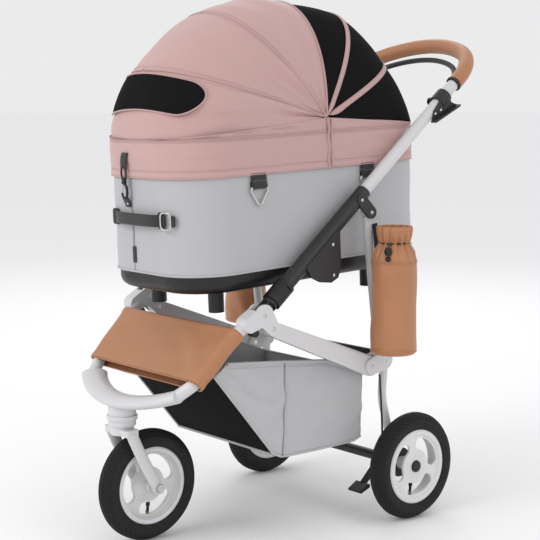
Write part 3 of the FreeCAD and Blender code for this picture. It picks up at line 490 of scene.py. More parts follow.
# -------- the dome
def dome(angle, u, out=0.0):
    """A point on the dome: angle about the bow pivots from the rear, u from -1 (left) to 1 (right)."""
    angle, u = np.broadcast_arrays(np.asarray(angle, float), np.asarray(u, float))
    radius = np.interp(angle, FAN[:, 0], FAN[:, 1]) + out
    power = np.interp(angle, FAN[:, 0], FAN[:, 2])
    a = u * math.pi / 2
    x = (PIVOT_X + out) * np.sign(a) * np.abs(np.sin(a)) ** (2 / power)
    reach = radius * np.abs(np.cos(a)) ** (2 / power)
    turn = np.radians(angle)
    return tilted(x, PIVOT_Y + reach * np.cos(turn), PIVOT_Z + reach * np.sin(turn))


def spread(count, power, end=.9975):
    """Stations of u that are dense toward the pivots."""
    t = np.linspace(-1, 1, count)
    return np.sign(t) * (1 - (1 - np.abs(t)) ** power) * end


def dome_panel(name, start, end, rows, cols, sag, seed, material, slot, wrinkle, body, thickness=.0018):
    a = np.linspace(start, end, rows)[:, None]
    u = spread(cols, 1.25)[None, :]
    t = (a - start) / (end - start)
    field = waves(seed, 9, 2, 7)
    folds = waves(seed + 1, 7, 9, 22)
    near = np.abs(u) ** 3
    still = np.sin(math.pi * t) ** .6
    out = -sag * np.sin(math.pi * t) * (1 - near * .5)
    ripple = .9 * field(t * 2.2, u * 1.7) + .5 * folds(t * 1.1, u * .7) * (.25 + near)
    return thick_grid(name, dome(a, u, out + wrinkle * still * ripple), thickness, material, body, slot)


def blend_ends(a0, a1):
    return tuple(dome(a0, 0.0)), tuple(dome(a1, 0.0))


rear_net = dome_panel("canopy_rear_net", ANGLE_REAR, ANGLE_ZIP, 56, 90, .002, 3, MAT["mesh_black"],
                      "mesh_black", .0007, "coach", .0010)
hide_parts("canopy_rear_mesh")
rear_panel = dome_panel("canopy_cloth_rear", ANGLE_ZIP, ANGLE_MID, 60, 120, .0035, 11, MAT["canopy_pink"],
                        "canopy_pink", .0011, None)
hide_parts("canopy_rear_panel")
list(blend_ends(ANGLE_ZIP, ANGLE_MID))
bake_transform(rear_panel)
mid_panel = dome_panel("canopy_cloth_mid", ANGLE_MID, ANGLE_FRONT, 60, 130, .0035, 21, MAT["canopy_pink"],
                       "canopy_pink", .0014, None)
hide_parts("canopy_mid_panel")
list(blend_ends(ANGLE_MID, ANGLE_FRONT))
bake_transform(mid_panel)
front_panel = dome_panel("canopy_cloth_front", ANGLE_FRONT, ANGLE_BASE, 60, 150, -.001, 31,
                         MAT["canopy_pink"], "canopy_pink", .0016, "canopy_front")
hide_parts("canopy_front_panel")


for name, angle, body in (("seam_zip", ANGLE_ZIP, "coach"), ("seam_mid", ANGLE_MID, "canopy_mid"),
                          ("seam_front", ANGLE_FRONT, "canopy_front")):
    tube(name, dome(angle, spread(160, 1.25), .0006), .0024, MAT["piping_pink"], body, "canopy_pink", 10,
         flat=.75, up=(1.0, 0, 0))
    for k, side in enumerate((-1.5, 1.5)):
        if name == "seam_zip" and side < 0:
            continue
        stitches("%s_stitch_%d" % (name, k), dome(angle + side, spread(200, 1.25, .985), .0004),
                 MAT["thread_pink"], body, "canopy_pink")


def strip(name, angle, half, body):
    """A flat binding sewn over the net."""
    u = spread(120, 1.25)[None, :]
    centre = dome(angle, u[0])
    pivot = tilted(0, PIVOT_Y, PIVOT_Z)
    reach = np.maximum(np.linalg.norm((centre - pivot)[:, 1:], axis=1), .02)
    rows = np.linspace(-1, 1, 7)[:, None]
    width = np.minimum(half / reach, math.radians(14))
    pts = dome(angle + rows * np.degrees(width)[None, :], u, .0016 - .0006 * rows ** 2)
    thick_grid(name, pts, .0012, MAT["canopy_pink"], body, "canopy_pink")
    for k, e in enumerate((-.72, .72)):
        stitches("%s_stitch_%d" % (name, k), dome(angle + e * np.degrees(width), u[0], .0020),
                 MAT["thread_pink"], body, "canopy_pink")


strip("net_strip_a", ANGLE_A, .0058, "coach")
strip("net_strip_b", ANGLE_B, .0058, "coach")

# the front window: a net patch with rounded ends, let into the front panel
x_flat, x_end = .102, .132
t = np.linspace(-1, 1, 110)
x_at = x_end * np.sign(t) * (1 - (1 - np.abs(t)) ** 1.6)
over = np.clip((np.abs(x_at) - x_flat) / (x_end - x_flat), 0, 1)
height = np.sqrt(np.maximum(1 - over ** 2, 1e-4))
middle = 169.0 + 14.0 * (np.abs(x_at) / .12) ** 2 * .12
half = (5.75 + .5 * (np.abs(x_at) / .12) ** 2) * height


def u_for_x(x, angle):
    power = np.interp(angle, FAN[:, 0], FAN[:, 2])
    return np.sign(x) * np.arcsin(np.clip(np.abs(x) / PIVOT_X, 0, 1) ** (power / 2)) * 2 / math.pi


rows = np.linspace(-1, 1, 34)[:, None]
window_angle = middle[None, :] + rows * half[None, :]
window = dome(window_angle, u_for_x(x_at[None, :], window_angle), .0056 - .0008 * rows ** 4)
thick_grid("front_window_net", window, .0012, MAT["mesh_black"], "canopy_front", "mesh_black")
edge = []
for sign in (-1, 1):
    order = slice(None) if sign < 0 else slice(None, None, -1)
    angle_line = (middle + sign * half * 1.03)[order]
    edge.append(dome(angle_line, u_for_x(x_at[order] * 1.01, angle_line), .0050))
border = np.concatenate(edge)
tube("front_window_piping", resample(np.concatenate([border, border[:1]]), .004)[:-1], .0017,
     MAT["piping_pink"], "canopy_front", "canopy_pink", 8, closed=True)


# -------- the coach's round walls
def plan(count, offset):
    """x, y and distance round the coach's plan outline, offset outwards, starting at the front middle."""
    line = [(0, FRONT_Y, 0, -1)]
    spots = [(HALF_X - CORNER, FRONT_Y + CORNER, -90), (HALF_X - CORNER, REAR_Y - CORNER, 0),
             (CORNER - HALF_X, REAR_Y - CORNER, 90), (CORNER - HALF_X, FRONT_Y + CORNER, 180)]
    for x, y, start in spots:
        for w in np.radians(np.linspace(start, start + 90, 40)):
            line.append((x + CORNER * math.cos(w), y + CORNER * math.sin(w), math.cos(w), math.sin(w)))
    line = np.array(line + line[:1])
    travel = travelled(line[:, :2])
    s = np.linspace(0, travel[-1], count, endpoint=False)
    x, y, nx, ny = (np.interp(s, travel, line[:, k]) for k in range(4))
    size = np.hypot(nx, ny)
    return x + nx / size * offset, y + ny / size * offset, s


COUNT = 420


def hoop(z, out):
    """The coach's outline at height z, out metres outside its plan."""
    x, y, _ = plan(COUNT, out)
    return tilted(x, y, z)


_, plan_y, S = plan(COUNT, 0)
front_slope, rear_slope = math.tan(math.radians(4.1)), math.tan(math.radians(5.0))
TOP = np.where(plan_y < PIVOT_Y, PIVOT_Z + (plan_y - .006 - PIVOT_Y) * front_slope,
               PIVOT_Z - (plan_y + .005 - PIVOT_Y) * rear_slope)

# band: hem, puffed middle, sewn seam, and the skirt that rises to the bow pivots
rows_z, rows_out = [], []
for z, out in ((.7572, .0012), (.7572, .0035), (.7590, .0046), (.7640, .0052), (.7682, .0046),
               (.7696, .0037), (.7712, .0041)):
    rows_z.append(np.full(COUNT, z))
    rows_out.append(np.full(COUNT, out))
billow = waves(41, 8, 8, 30)
for k in range(1, 12):
    t = k / 12.0
    rows_z.append(np.full(COUNT, .7712 + (.8300 - .7712) * t))
    rows_out.append(.0041 + (.0016 + .0007 * billow(S * 1.5, t * .5)) * math.sin(math.pi * t))
for z, out in ((.8300, .0036), (.8316, .0026), (.8332, .0036)):
    rows_z.append(np.full(COUNT, z))
    rows_out.append(np.full(COUNT, out))
ruck = waves(43, 8, 10, 34)
for k in range(1, 9):
    t = k / 8.0
    z = .8332 + (np.maximum(TOP, .8336) - .8332) * t
    rows_z.append(z)
    rows_out.append(.0036 + .0026 * t + .0008 * ruck(S * 1.4, t) * math.sin(math.pi * t))
pucker = .00035 * np.sin(S * 2 * math.pi / .0105)
band = []
for z, out in zip(rows_z, rows_out):
    near = np.exp(-((z - .8316) / .004) ** 2) + np.exp(-((z - .7696) / .003) ** 2)
    band.append(hoop(z, out + pucker * near))
band_obj = thick_grid("canopy_band_cloth", np.array(band), .0018, MAT["canopy_pink"], "coach", "canopy_pink",
                      wrap=True, invert=True)
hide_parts("canopy_band")
for name, z, out in (("band_seam_piping", .8316, .0037), ("band_hem_piping", .7578, .0042)):
    tube(name, hoop(z, out), .0015, *COACH_PIPING, 8, closed=True)
for name, z, out in (("band_stitch_a", .8274, .0046), ("band_stitch_b", .7722, .0049),
                     ("band_stitch_c", .8358, .0044)):
    pts = hoop(z, out)
    stitches(name, np.concatenate([pts, pts[:1]]), MAT["thread_pink"], "coach", "canopy_pink")

# wall: smooth coated panel with a bound lower edge
calm = waves(51, 6, 3, 9)
wall_rows = []
for z in np.concatenate([[WALL_LOW, WALL_LOW + .0015], np.linspace(WALL_LOW + .006, .800, 30)]):
    edge_in = -.0012 if z < WALL_LOW + .001 else 0.0
    t = (z - WALL_LOW) / .24
    wall_rows.append(hoop(z, edge_in + .0005 * calm(S * 1.2, t * 1.3) * min(t * 4, 1)))
wall_obj = thick_grid("coach_wall_panel", np.array(wall_rows), .0028, *WALL, wrap=True, invert=True)
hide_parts("coach_wall")
tube("wall_lower_binding", hoop(WALL_LOW + .0018, .0006), .0021, *WALL, 8, closed=True)


def on_front(x, z, out):
    """A point on the coach's front face."""
    return tilted(x, FRONT_Y - out, z)


seam_z = np.linspace(WALL_LOW + .004, HEM_Z - .002, 30)
tube("wall_front_seam", on_front(-.030, seam_z, .0004), .0009, *WALL_THREAD, 6)
stitches("wall_front_stitch", on_front(-.034, seam_z, .0004), *WALL_THREAD)
tag_z, tag_x = np.meshgrid(np.linspace(.585, .618, 8), np.linspace(-.0335, -.0225, 5), indexing="ij")
thick_grid("wall_blank_tag", on_front(tag_x, tag_z, .0018), .0010, *WEB)

# zip seam down the side from the bow pivot to the hem
for sign in (-1, 1):
    name = "right" if sign > 0 else "left"
    z = np.linspace(.7575, .8590, 26)
    out = np.where(z < .832, .0058, .0072)
    pts = tilted(sign * (HALF_X + out), PIVOT_Y + .003 + .0015 * np.sin(z * 160), z)
    tube("side_zip_" + name, pts, .0034, *COACH_PIPING, 10, flat=.6, up=(1.0, 0, 0))
    pts = tilted(sign * (HALF_X + out + .0003), PIVOT_Y + .0115, z)
    tube("side_zip_fold_" + name, pts, .0022, *COACH_PIPING, 8, flat=.6, up=(1.0, 0, 0))

# -------- cushion
VOXEL = .008
SEAM_REACH = .006              # points this near the seam are held
PAD_MASS, PAD_PRESSURE, PAD_FRAMES = .3, 4.0, 20
PAD_TRAVEL = .009


def puff(o, seam, cap):
    """Blow a closed pad up from inside with its seam held, no point moving further than cap."""
    remesh = o.modifiers.new("remesh", "REMESH")
    remesh.mode = "VOXEL"
    remesh.voxel_size = VOXEL
    bpy.context.view_layer.objects.active = o
    bpy.ops.object.modifier_apply(modifier=remesh.name)
    rest = np.array([v.co for v in o.data.vertices])
    gap = np.array([np.min(np.sum((seam - p) ** 2, axis=1)) for p in rest]) ** .5
    held = o.vertex_groups.new(name="seam")
    held.add([int(k) for k in np.flatnonzero(gap < SEAM_REACH)], 1.0, "REPLACE")
    cloth_mod = o.modifiers.new("cloth", "CLOTH")
    cloth_mod.settings.vertex_group_mass = "seam"
    cloth_mod.settings.mass = PAD_MASS
    cloth_mod.settings.use_pressure = True
    cloth_mod.settings.uniform_pressure_force = PAD_PRESSURE
    cloth_mod.settings.effector_weights.gravity = 0.0
    cloth_mod.collision_settings.use_collision = False
    cloth_mod.point_cache.frame_start = 1
    cloth_mod.point_cache.frame_end = PAD_FRAMES
    for frame_number in range(1, PAD_FRAMES + 1):
        bpy.context.scene.frame_set(frame_number)
    blown = o.evaluated_get(bpy.context.evaluated_depsgraph_get())
    moved = np.array([v.co for v in blown.data.vertices]) - rest
    o.modifiers.remove(cloth_mod)
    bpy.context.scene.frame_set(1)
    far = np.maximum(np.linalg.norm(moved, axis=1, keepdims=True), 1e-9)
    final = rest + moved * np.minimum(1.0, cap / far)
    o.data.vertices.foreach_set("co", final.reshape(-1))
    for polygon in o.data.polygons:
        polygon.use_smooth = True
    o.data.update()


def cushion():
    count = 120
    line_x, line_y, _ = plan(count, -.016)
    centre_y = (FRONT_Y + REAR_Y) / 2
    rings = []
    for scale, z in ((0.0, .5520), (.5, .5520), (.93, .5520), (.985, .5560), (1.0, .5650), (.985, .5740),
                     (.93, .5785), (.7, .5800), (.35, .5770), (0.0, .5765)):
        rings.append(tilted(line_x * scale, centre_y + (line_y - centre_y) * scale, z))
    pts = np.array(rings)
    verts = pts.reshape(-1, 3)
    uv = [(v[0], v[1]) for v in verts]
    o = new_mesh("coach_cushion_pad", verts, ring_faces(len(rings), count), MAT["cushion_grey"], None,
                 uv)
    clean(o, merge=1e-5)
    seam = pts[4]
    puff(o, seam, PAD_TRAVEL)
    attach(o, "coach")
    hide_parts("coach_cushion")
    tube("cushion_piping", seam, .0021, MAT["cushion_grey"], "coach", "cushion_grey", 8, closed=True)


cushion()


# -------- footrest sling
REST_A, REST_B = np.array([-.432, .4415]), np.array([-.526, .347])
REST_HALF_A, REST_HALF_B = .197, .1875      # half width at the top and at the bottom
REST_R = .0148                               # half thickness of the flat oval


def sling(w, p, out=0.0):
    """w runs down the slope 0..1, p round the flat oval 0..1, starting on top at +X."""
    w, p = np.broadcast_arrays(np.asarray(w, float), np.asarray(p, float))
    half = REST_HALF_A + (REST_HALF_B - REST_HALF_A) * w
    thick = REST_R + out
    along = REST_B - REST_A
    along = along / np.linalg.norm(along)
    normal = np.array([along[1], -along[0]])
    centre = REST_A + (REST_B - REST_A) * w[..., None]
    run = half - REST_R
    total = 4 * run + 2 * math.pi * REST_R
    s = (p % 1.0) * total
    flat = 2 * run
    arc = math.pi * REST_R
    first, second = (s - flat) / REST_R, (s - 2 * flat - arc) / REST_R
    stretch = [s < flat, s < flat + arc, s < 2 * flat + arc]      # top, round the -X end, underside
    x = np.select(stretch, [run - s, -run - thick * np.sin(first), -run + (s - flat - arc)],
                  run + thick * np.sin(second))
    n = np.select(stretch, [thick + 0 * s, thick * np.cos(first), -thick + 0 * s], -thick * np.cos(second))
    dip = (1 - (np.abs(x) / np.maximum(half, 1e-6)) ** 2).clip(0)
    n = n - .0045 * dip * np.where(n > 0, 1, .3) * np.sin(math.pi * np.clip(w, 0, 1)) ** .4
    y = centre[..., 0] + normal[0] * n
    z = centre[..., 1] + normal[1] * n
    return placed(x, y, z)


w = np.concatenate([[0.0, .004], np.linspace(.02, .98, 30), [.996, 1.0]])[:, None]
p = np.linspace(0, 1, 260, endpoint=False)[None, :]
ease = waves(61, 7, 4, 12)
dent = .0005 * ease(w * 1.3, np.sin(2 * math.pi * p) * 1.2)
hem = .0009 * (np.exp(-((w - .05) / .035) ** 6) + np.exp(-((w - .95) / .035) ** 6))
rest = thick_grid("footrest_sling", sling(w, p, dent + hem), .0026, *REST_TAN, wrap=True)
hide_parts("footrest_cover")
loop = np.linspace(0, 1, 261)
for k, at in enumerate((.088, .912)):
    stitches("footrest_stitch_%d" % k, sling(at, loop, .0010), MAT["thread_tan"], "front_frame",
             "tan_leather", .005, .0034, .0005)
for k, at in enumerate((.002, .998)):
    pts = sling(at, p[0], .0)
    tube("footrest_edge_%d" % k, pts, .0017, *REST_TAN, 8, closed=True)

# -------- bottle pouches
def pouch(side, cx, cy):
    """A gathered bag with a drawcord; cx and cy are the middle of its base."""
    def around(r, angle, z):
        return placed(cx + r * np.cos(angle), cy + r * np.sin(angle), z)

    radius = .0475
    profile = [(.000, .3728), (.030, .3722), (.0420, .3724), (.0462, .3750), (.0474, .3800), (.0476, .3900),
               (.0474, .4400), (.0472, .5000), (.0474, .5500), (.0466, .5700), (.0425, .5850), (.0350, .5960),
               (.0300, .6020), (.0292, .6060), (.0310, .6110), (.0345, .6200), (.0365, .6300), (.0362, .6390),
               (.0345, .6392), (.0330, .6300), (.0290, .6180), (.0262, .6080), (.0262, .6040), (.0300, .5980),
               (.0390, .5840), (.0440, .5680), (.0450, .5400), (.0450, .3900), (.0440, .3780), (.000, .3765)]
    profile = np.array(profile)
    travel = travelled(profile)
    t = np.linspace(0, travel[-1], 230)
    r = np.interp(t, travel, profile[:, 0])[:, None]
    z = np.interp(t, travel, profile[:, 1])[:, None]
    phi = circle(144)[None, :]
    gather = np.exp(-((z - .603) / .026) ** 2)
    body = ((z > .385) & (z < .575)).astype(float)
    crease = waves(71 if side == "right" else 72, 9, 1, 5)
    fold = gather * (.0030 * np.sin(13 * phi + 1.3 * np.sin(3 * phi)) + .0012 * np.sin(29 * phi + z * 90))
    fold = fold + .0009 * body * crease(np.cos(phi) * 1.1 + np.sin(phi), z * 16)
    lip = .0016 * np.exp(-((z - .636) / .012) ** 2) * np.sin(13 * phi + .9)
    r = np.maximum(r + (fold + lip) * (r > .02), 0)
    pts = around(r, phi, z)
    verts = pts.reshape(-1, 3)
    n, m = pts.shape[:2]
    u = np.broadcast_to(phi * radius, (n, m)).reshape(-1)
    v = np.broadcast_to(t[:, None], (n, m)).reshape(-1)
    o = new_mesh("pouch_bag_" + side, verts, ring_faces(n, m), MAT["tan_leather"], None,
                 list(zip(u, v)))
    clean(o, merge=1e-6)
    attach(o, "chassis")
    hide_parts("pouch_" + side)
    a = circle(120)
    for k, (zz, rr) in enumerate(((.3860, .0481), (.5640, .0478), (.5680, .0475))):
        pts = around(rr, a, zz)
        stitches("pouch_stitch_%s_%d" % (side, k), np.concatenate([pts, pts[:1]]), *BAG_THREAD,
                 .0045, .003, .00045)
    tube("pouch_base_piping_" + side, around(radius, a, .3795), .0016, *BAG_TAN, 8, closed=True)
    seam_at = math.radians(205 if side == "right" else -25)
    tube("pouch_side_seam_" + side, around(.0478, seam_at, np.linspace(.381, .568, 60)), .0012, *BAG_TAN, 6)
    cord = around(.0302 + .0012 * np.sin(13 * a), a, .6045)
    tube("pouch_drawcord_" + side, cord, .0014, *BAG_WEB, 8, closed=True)
    lock_at = math.radians(-62 if side == "right" else 242)
    tail = [around(q, lock_at, zz) for q, zz in
            ((.0300, .6045), (.0400, .6010), (.0440, .5920), (.0448, .5800))]
    tube("pouch_cord_tail_" + side, resample(tail, .003), .0015, *BAG_WEB, 8)
    tube("pouch_cord_lock_" + side, around(.0445, lock_at, np.linspace(.598, .582, 7)),
         [.0045, .0066, .0074, .0076, .0074, .0066, .0045], *BAG_GLOSS, 16)
    tube("pouch_cord_ball_" + side, around(.0448, lock_at, np.linspace(.5800, .5690, 9)),
         [.0012, .0036, .0049, .0054, .0056, .0054, .0049, .0036, .0012], *BAG_GLOSS, 16)
    out = 1 if side == "right" else -1
    strap = [placed(cx - out * q, cy, zz) for q, zz in
             ((.046, .545), (.0505, .585), (.056, .625), (.060, .640))]
    tube("pouch_hanger_" + side, resample(strap, .004), .0085, *BAG_WEB, 10, flat=.16, up=(0, 1.0, 0))
    return o


right_pouch = pouch("right", .267, -.080)
pouch("left", -.267, -.045)
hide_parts("pouch_toggles")

# -------- basket
# the bag's lower and upper edge lines, front to rear, as (y, z)
LOWER = np.array([(-.472, .356), (-.400, .271), (-.321, .177), (-.300, .1685), (-.281, .1665),
                  (-.190, .1665), (-.096, .1685), (-.074, .176)])
UPPER = np.array([(-.440, .378), (-.380, .3730), (-.315, .3670), (-.295, .3650), (-.275, .3630),
                  (-.179, .354), (-.120, .3360), (-.069, .316)])
BAG_X, EDGE_X, PLEAT_AT = .1635, .1642, .472


def chain(line, t):
    """y and z along one of the edge lines, t from 0 to 1."""
    travel = np.linspace(0, 1, len(line))
    return np.interp(t, travel, line[:, 0]), np.interp(t, travel, line[:, 1])


def basket():
    s = np.linspace(0, 1, 120)[None, :]
    t = np.linspace(0, 1, 46)[:, None]
    ly, lz = chain(LOWER, s)
    uy, uz = chain(UPPER, s)
    bag = waves(81, 8, 3, 11)
    for sign in (-1, 1):
        side = "right" if sign > 0 else "left"
        y = ly + (uy - ly) * t
        z = lz + (uz - lz) * t
        bulge = (.0050 * np.sin(math.pi * s) + .0016 * bag(s * 2.5, t * 1.8)) * np.sin(math.pi * t)
        pleat = -.0045 * np.exp(-((s - .46) / .010) ** 2) + .0030 * np.exp(-((s - .485) / .012) ** 2)
        x = sign * (BAG_X + bulge + pleat * np.sin(math.pi * np.clip(t, .02, .98)) ** .3)
        o = thick_grid("basket_side_" + side, placed(x, y, z), .0016, *BASKET, invert=sign > 0)
        along = np.linspace(0, 1, 80)
        tube("basket_edge_low_" + side, placed(sign * EDGE_X, *chain(LOWER, along)), .0026, *BASKET, 8)
        top_y, top_z = chain(UPPER, along)
        tube("basket_edge_top_" + side, placed(sign * EDGE_X, top_y, top_z), .0034, *BASKET, 8)
        stitches("basket_stitch_" + side, placed(sign * .1662, top_y, top_z - .009), MAT["thread_grey"], None,
                 "wall_grey")
        (y0, z0), (y1, z1) = chain(LOWER, PLEAT_AT), chain(UPPER, PLEAT_AT)
        line = np.linspace(0, 1, 20)
        pleat_line = placed(sign * .1672, y0 + (y1 - y0) * line, z0 + (z1 - z0) * line)
        tube("basket_pleat_seam_" + side, pleat_line, .0016, *BASKET, 6)
    x = np.linspace(-BAG_X, BAG_X, 70)[None, :]
    q = np.linspace(0, 1, 50)[:, None]
    slack = np.sin(math.pi * q) * np.cos(x / BAG_X * math.pi / 2)
    fy, fz = chain(LOWER[:3], q)
    front = placed(x, fy - .0042 * slack, fz - .0042 * slack)
    thick_grid("basket_front_net", front, .0012, MAT["mesh_black"], None, "mesh_black")
    by, bz = chain(LOWER[2:], q)
    floor = placed(x, by, bz - .0012 * slack + .0010)
    thick_grid("basket_floor", floor, .0016, MAT["dark_lining"], None, "wall_grey")
    ry = -.074 + (-.069 + .074) * q
    rz = .176 + (.316 - .176) * q
    thick_grid("basket_back", placed(x, ry + .004 * slack, rz), .0016, *BASKET)
    for name, (yy, zz) in (("basket_edge_front", (-.4725, .357)), ("basket_edge_rear", (-.069, .317)),
                           ("basket_edge_toe", (-.321, .1755))):
        line = np.linspace(-EDGE_X, EDGE_X, 40)
        tube(name, placed(line, yy, zz), .0030, *BASKET, 8)
    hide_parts("basket_shell")
    # the bag hangs from the chassis at the back and from the folding front frame at its front edge; the two
    # points below mark these places but are not used, and the basket pieces stay unattached with their
    # placement baked in
    steady, carried = placed(0, -.24, .26), placed(0, -.44, .37)
    for o in bpy.context.scene.objects:
        if o.name.startswith("basket_") and o.name not in NODES:
            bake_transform(o)


basket()

# -------- straps, clip and rings
def ribbon(name, points, width, thickness, across, material, body, slot):
    """A flat strap along points, its width along the direction across."""
    pts = resample(points, .003)
    across = np.asarray(across, float)
    rows = np.linspace(-.5, .5, 7)
    grid = np.array([pts + across * width * k for k in rows])
    return thick_grid(name, grid, thickness, material, body, slot)


def smooth_path(points):
    """Cut the corners of a line three times."""
    pts = np.asarray(points, float)
    for _ in range(3):
        a = pts[:-1] * .75 + pts[1:] * .25
        b = pts[:-1] * .25 + pts[1:] * .75
        pts = np.concatenate([pts[:1], np.stack([a, b], 1).reshape(-1, 3), pts[-1:]])
    return pts


up_t = np.array([0, -SIN_T, COS_T])
strap_line = smooth_path([on_front(x, .6755, out) for x, out in
                          ((-.090, .0020), (-.080, .0024), (-.070, .0100), (-.050, .0135), (.000, .0140),
                           (.050, .0130), (.064, .0080), (.074, .0022), (.084, .0020))])
strap = ribbon("carry_strap_web", strap_line, .024, .0022, up_t, *WEB)
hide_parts("carry_strap")
for k, edge in enumerate((-.0095, .0095)):
    stitches("carry_strap_stitch_%d" % k, resample(strap_line, .004) + up_t * edge + np.array([0, -.0012, 0]),
             *WEB_THREAD)


def squarish(a, corner):
    """Unit outline at the angles a: a circle at corner 1, nearly a square close to 0."""
    c, s = np.cos(a), np.sin(a)
    return np.sign(c) * np.abs(c) ** corner, np.sign(s) * np.abs(s) ** corner


def pad(name, x, z, wide, tall, out, material, body, slot, corner=.3):
    """A small moulded or sewn patch with rounded corners on the coach's front face."""
    px, pz = squarish(circle(48), corner)
    rings = [(1.0, 0.0), (1.0, .55), (.93, .9), (.80, 1.0), (.4, 1.04), (0.02, 1.05)]
    pts = np.array([on_front(x + px * wide / 2 * k, z + pz * tall / 2 * k, out + .003 * h) for k, h in rings])
    return thick_grid(name, pts, .0006, material, body, slot, wrap=True)


for k, x in enumerate((-.088, .070)):
    pad("carry_mount_%d" % k, x, .6755, .020, .032, .0006, MAT["black_plastic"], "coach", "black_plastic")
a = circle(60)
loop_x, loop_z = squarish(a, .45)
loop = on_front(.088 + .013 * loop_x, .6755 + .0165 * loop_z, .0045 - .0027 * np.cos(a))
tube("carry_loop", loop, .0021, *STEEL, 10, closed=True)
pad("carry_loop_tab", .101, .6755, .016, .022, -.0035, *WEB, .45)

hook_x = -.039
hanger = smooth_path([on_front(hook_x, z, out) for z, out in
                      ((.806, .0052), (.800, .0085), (.785, .0105), (.775, .0100))])
web = ribbon("clip_web_upper", hanger, .020, .0020, (1.0, 0, 0), *WEB)
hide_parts("clip_strap")
a = circle(72)
ring_path = on_front(hook_x + .0085 * np.cos(a), .766 + .0125 * np.sin(a), .0115)
tube("clip_swivel_eye", ring_path, .0020, *GLOSS, 10, closed=True)
barrel = on_front(hook_x, np.linspace(.757, .744, 9), .0115)
tube("clip_barrel", barrel, [.0035, .0052, .0056, .0050, .0044, .0050, .0058, .0054, .0036], *GLOSS, 16)
hook_path = smooth_path([on_front(hook_x + dx, z, .0115) for dx, z in
                         ((.0015, .745), (.0085, .738), (.0100, .728), (.0080, .719), (.0010, .7145),
                          (-.0065, .718), (-.0085, .726))])
tube("clip_hook", hook_path, np.linspace(.0030, .0022, len(hook_path)), *GLOSS, 12)
gate = on_front(hook_x - .0082 + .003 * np.linspace(0, 1, 12), np.linspace(.7275, .7435, 12), .0115)
tube("clip_gate", gate, .0016, *STEEL, 10)
lower = smooth_path([on_front(hook_x, z, out) for z, out in
                     ((.719, .0105), (.712, .0075), (.704, .0035), (.698, .0022))])
ribbon("clip_web_lower", lower, .019, .0020, (1.0, 0, 0), *WEB)
stud = on_front(hook_x, .7055, 0.0)
tube("clip_stud", np.array([stud + np.array([0, -q, 0]) for q in (.0045, .0058, .0066, .0070)]),
     [.0044, .0046, .0036, .0010], *STEEL, 18)

for sign in (-1, 1):
    for k, y in enumerate((-.358, -.060)):
        name = "%s_%d" % ("right" if sign > 0 else "left", k)
        path = smooth_path([tilted(sign * (HALF_X + out), y, z) for z, out in
                            ((.760, .0030), (.752, .0048), (.742, .0054), (.733, .0080), (.7295, .0056),
                             (.734, .0030), (.744, .0016))])
        o = ribbon("ring_loop_" + name, path, .038, .0018, (0, COS_T, SIN_T), *WEB)
        if name == "right_0":
            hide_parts("ring_webbing")
        line = [tilted(sign * (HALF_X + .0072), y + dy, .7455) for dy in np.linspace(-.017, .017, 12)]
        stitches("ring_stitch_" + name, line, *WEB_THREAD)

# -------- grip and handle details
def handle_line(t):
    """The middle line of the handle's bow, t in 0..1 from +X to -X."""
    half_width, deep, corner_turn = .196, .160, math.radians(60)
    c, s = math.cos(corner_turn), math.sin(corner_turn)
    corner_r = (deep - half_width / c * (1 - s)) / (s - (1 - c) / c * (1 - s))
    wide_r = (half_width - corner_r * (1 - c)) / c
    long_corner, long_wide = corner_r * corner_turn, wide_r * 2 * (math.pi / 2 - corner_turn)
    total = 2 * long_corner + long_wide
    d = np.asarray(t, float) * total
    a, b, e = d / corner_r, corner_turn + (d - long_corner) / wide_r, (total - d) / corner_r
    stretch = [d <= long_corner, d < long_corner + long_wide]      # first corner, then the wide arc
    x = np.select(stretch, [half_width - corner_r * (1 - np.cos(a)), wide_r * np.cos(b)],
                  corner_r * (1 - np.cos(e)) - half_width)
    q = np.select(stretch, [corner_r * np.sin(a), (corner_r - wide_r) * s + wide_r * np.sin(b)],
                  corner_r * np.sin(e))
    start_y = FOLD_Y + BOW_START * math.cos(HANDLE_SLOPE) + .004 * math.cos(BOW_SLOPE)
    start_z = FOLD_Z + BOW_START * math.sin(HANDLE_SLOPE) + .004 * math.sin(BOW_SLOPE)
    return placed(x, start_y + q * math.cos(BOW_SLOPE), start_z + q * math.sin(BOW_SLOPE))


line = handle_line(np.linspace(0, 1, 200))
step = np.gradient(line, axis=0)
step /= np.linalg.norm(step, axis=1, keepdims=True)
plane_up = np.array([0, -math.sin(BOW_SLOPE), math.cos(BOW_SLOPE)])
inward = np.cross(plane_up, step)
inward /= np.linalg.norm(inward, axis=1, keepdims=True)
if np.dot(inward[100], placed(0, 0, .95) - line[100]) < 0:
    inward = -inward
seam_line = line + inward * .0135 - plane_up * .0100
tube("grip_seam", seam_line, .0010, *BAG_TAN, 6)
for k, drop in enumerate((.0072, .0128)):
    lift = math.sqrt(.0169 ** 2 - drop ** 2)
    stitches("grip_stitch_%d" % k, line + inward * lift - plane_up * drop, *BAG_THREAD, .0046, .0032, .0005)
for k, (at, d) in enumerate(((0, 1), (-1, -1))):
    along = step[at] * d
    side = np.cross(along, plane_up)
    profile = [(.0134, -.0050), (.0160, -.0046), (.0174, -.0030), (.0176, .0010), (.0172, .0026)]
    pts = np.array([[line[at] + along * h + r * (math.cos(w) * side + math.sin(w) * plane_up)
                     for w in circle(40)] for r, h in profile])
    thick_grid("grip_end_ring_%d" % k, pts, .0008, MAT["black_plastic"], "chassis", "black_plastic",
               wrap=True)

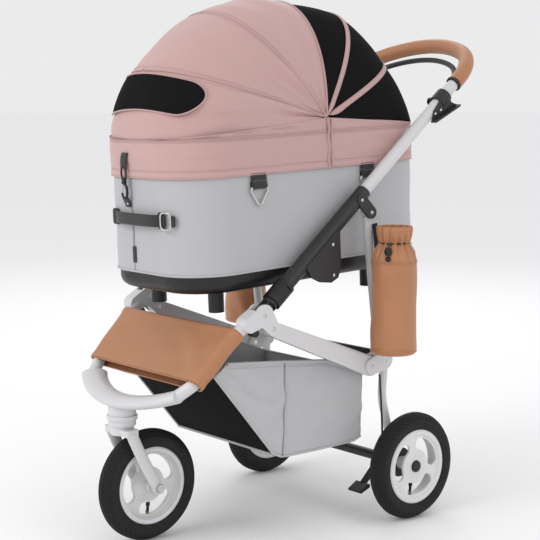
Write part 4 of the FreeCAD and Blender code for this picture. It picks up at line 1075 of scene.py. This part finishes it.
# brass caps on the valve stems, to one side of each wheel's middle plane, inboard at the rear
VALVE_SIDE = .003
for name, tyre, body in (("front", "front_tyre", "front_wheel"),
                         ("rear_left", "rear_tyre_left", "rear_wheel_left"),
                         ("rear_right", "rear_tyre_right", "rear_wheel_right")):
    low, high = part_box(tyre)
    x, y = (low.x + high.x) / 2 + (VALVE_SIDE if name == "rear_left" else -VALVE_SIDE), (low.y + high.y) / 2
    pts = np.array([(x, y, WHEEL_R - r) for r in (.074, .070, .0655, .062, .0615, .058)])
    tube("valve_cap_" + name, pts, [.0026, .0026, .0026, .0033, .0035, .0033], brass, body, "steel", 14)

# -------- stage, light, camera
FLOOR_SIZE, FLOOR_DROP = 600, .0002
WORLD_LIGHT = .84
LENS_MM, SENSOR_MM = 89.04, 36
CAMERA_AT, CAMERA_AIM = (2.2068, -1.88385, .8775), (0, -.03365, .5314)

scene = bpy.context.scene
bpy.ops.mesh.primitive_plane_add(size=FLOOR_SIZE, location=(0, 0, -FLOOR_DROP))
floor = bpy.context.object
floor.name = "floor"
floor_mat = Graph("floor_paper", (.965, .965, .97), 1.0, Specular_IOR_Level=0.0)
floor_mat.vary(floor_mat.noise(3, 2), .995, 1.005)
floor.data.materials.append(floor_mat.mat)

world = bpy.data.worlds.new("studio")
world.use_nodes = True
world.node_tree.nodes["Background"].inputs[0].default_value = (.99, .99, 1.0, 1)
world.node_tree.nodes["Background"].inputs[1].default_value = WORLD_LIGHT
scene.world = world


def area(name, place, target, size, power):
    light = bpy.data.lights.new(name, "AREA")
    light.shape = "DISK"
    light.size = size
    light.energy = power
    o = bpy.data.objects.new(name, light)
    scene.collection.objects.link(o)
    o.location = place
    o.rotation_euler = (Vector(target) - Vector(place)).to_track_quat("-Z", "Y").to_euler()


area("key", (-.3, -3.7, 2.9), (0, 0, .55), 2.2, 50)
area("fill", (3.6, .4, 2.0), (0, 0, .6), 2.4, 12)
area("rim", (-2.6, 2.4, 2.8), (0, 0, .7), 2.0, 22)

camera_data = bpy.data.cameras.new("camera")
camera_data.lens = LENS_MM
camera_data.sensor_width = SENSOR_MM
camera = bpy.data.objects.new("camera", camera_data)
scene.collection.objects.link(camera)
camera.location = CAMERA_AT
camera.rotation_euler = (Vector(CAMERA_AIM) - camera.location).to_track_quat("-Z", "Y").to_euler()
scene.camera = camera
scene.view_settings.view_transform = "Standard"
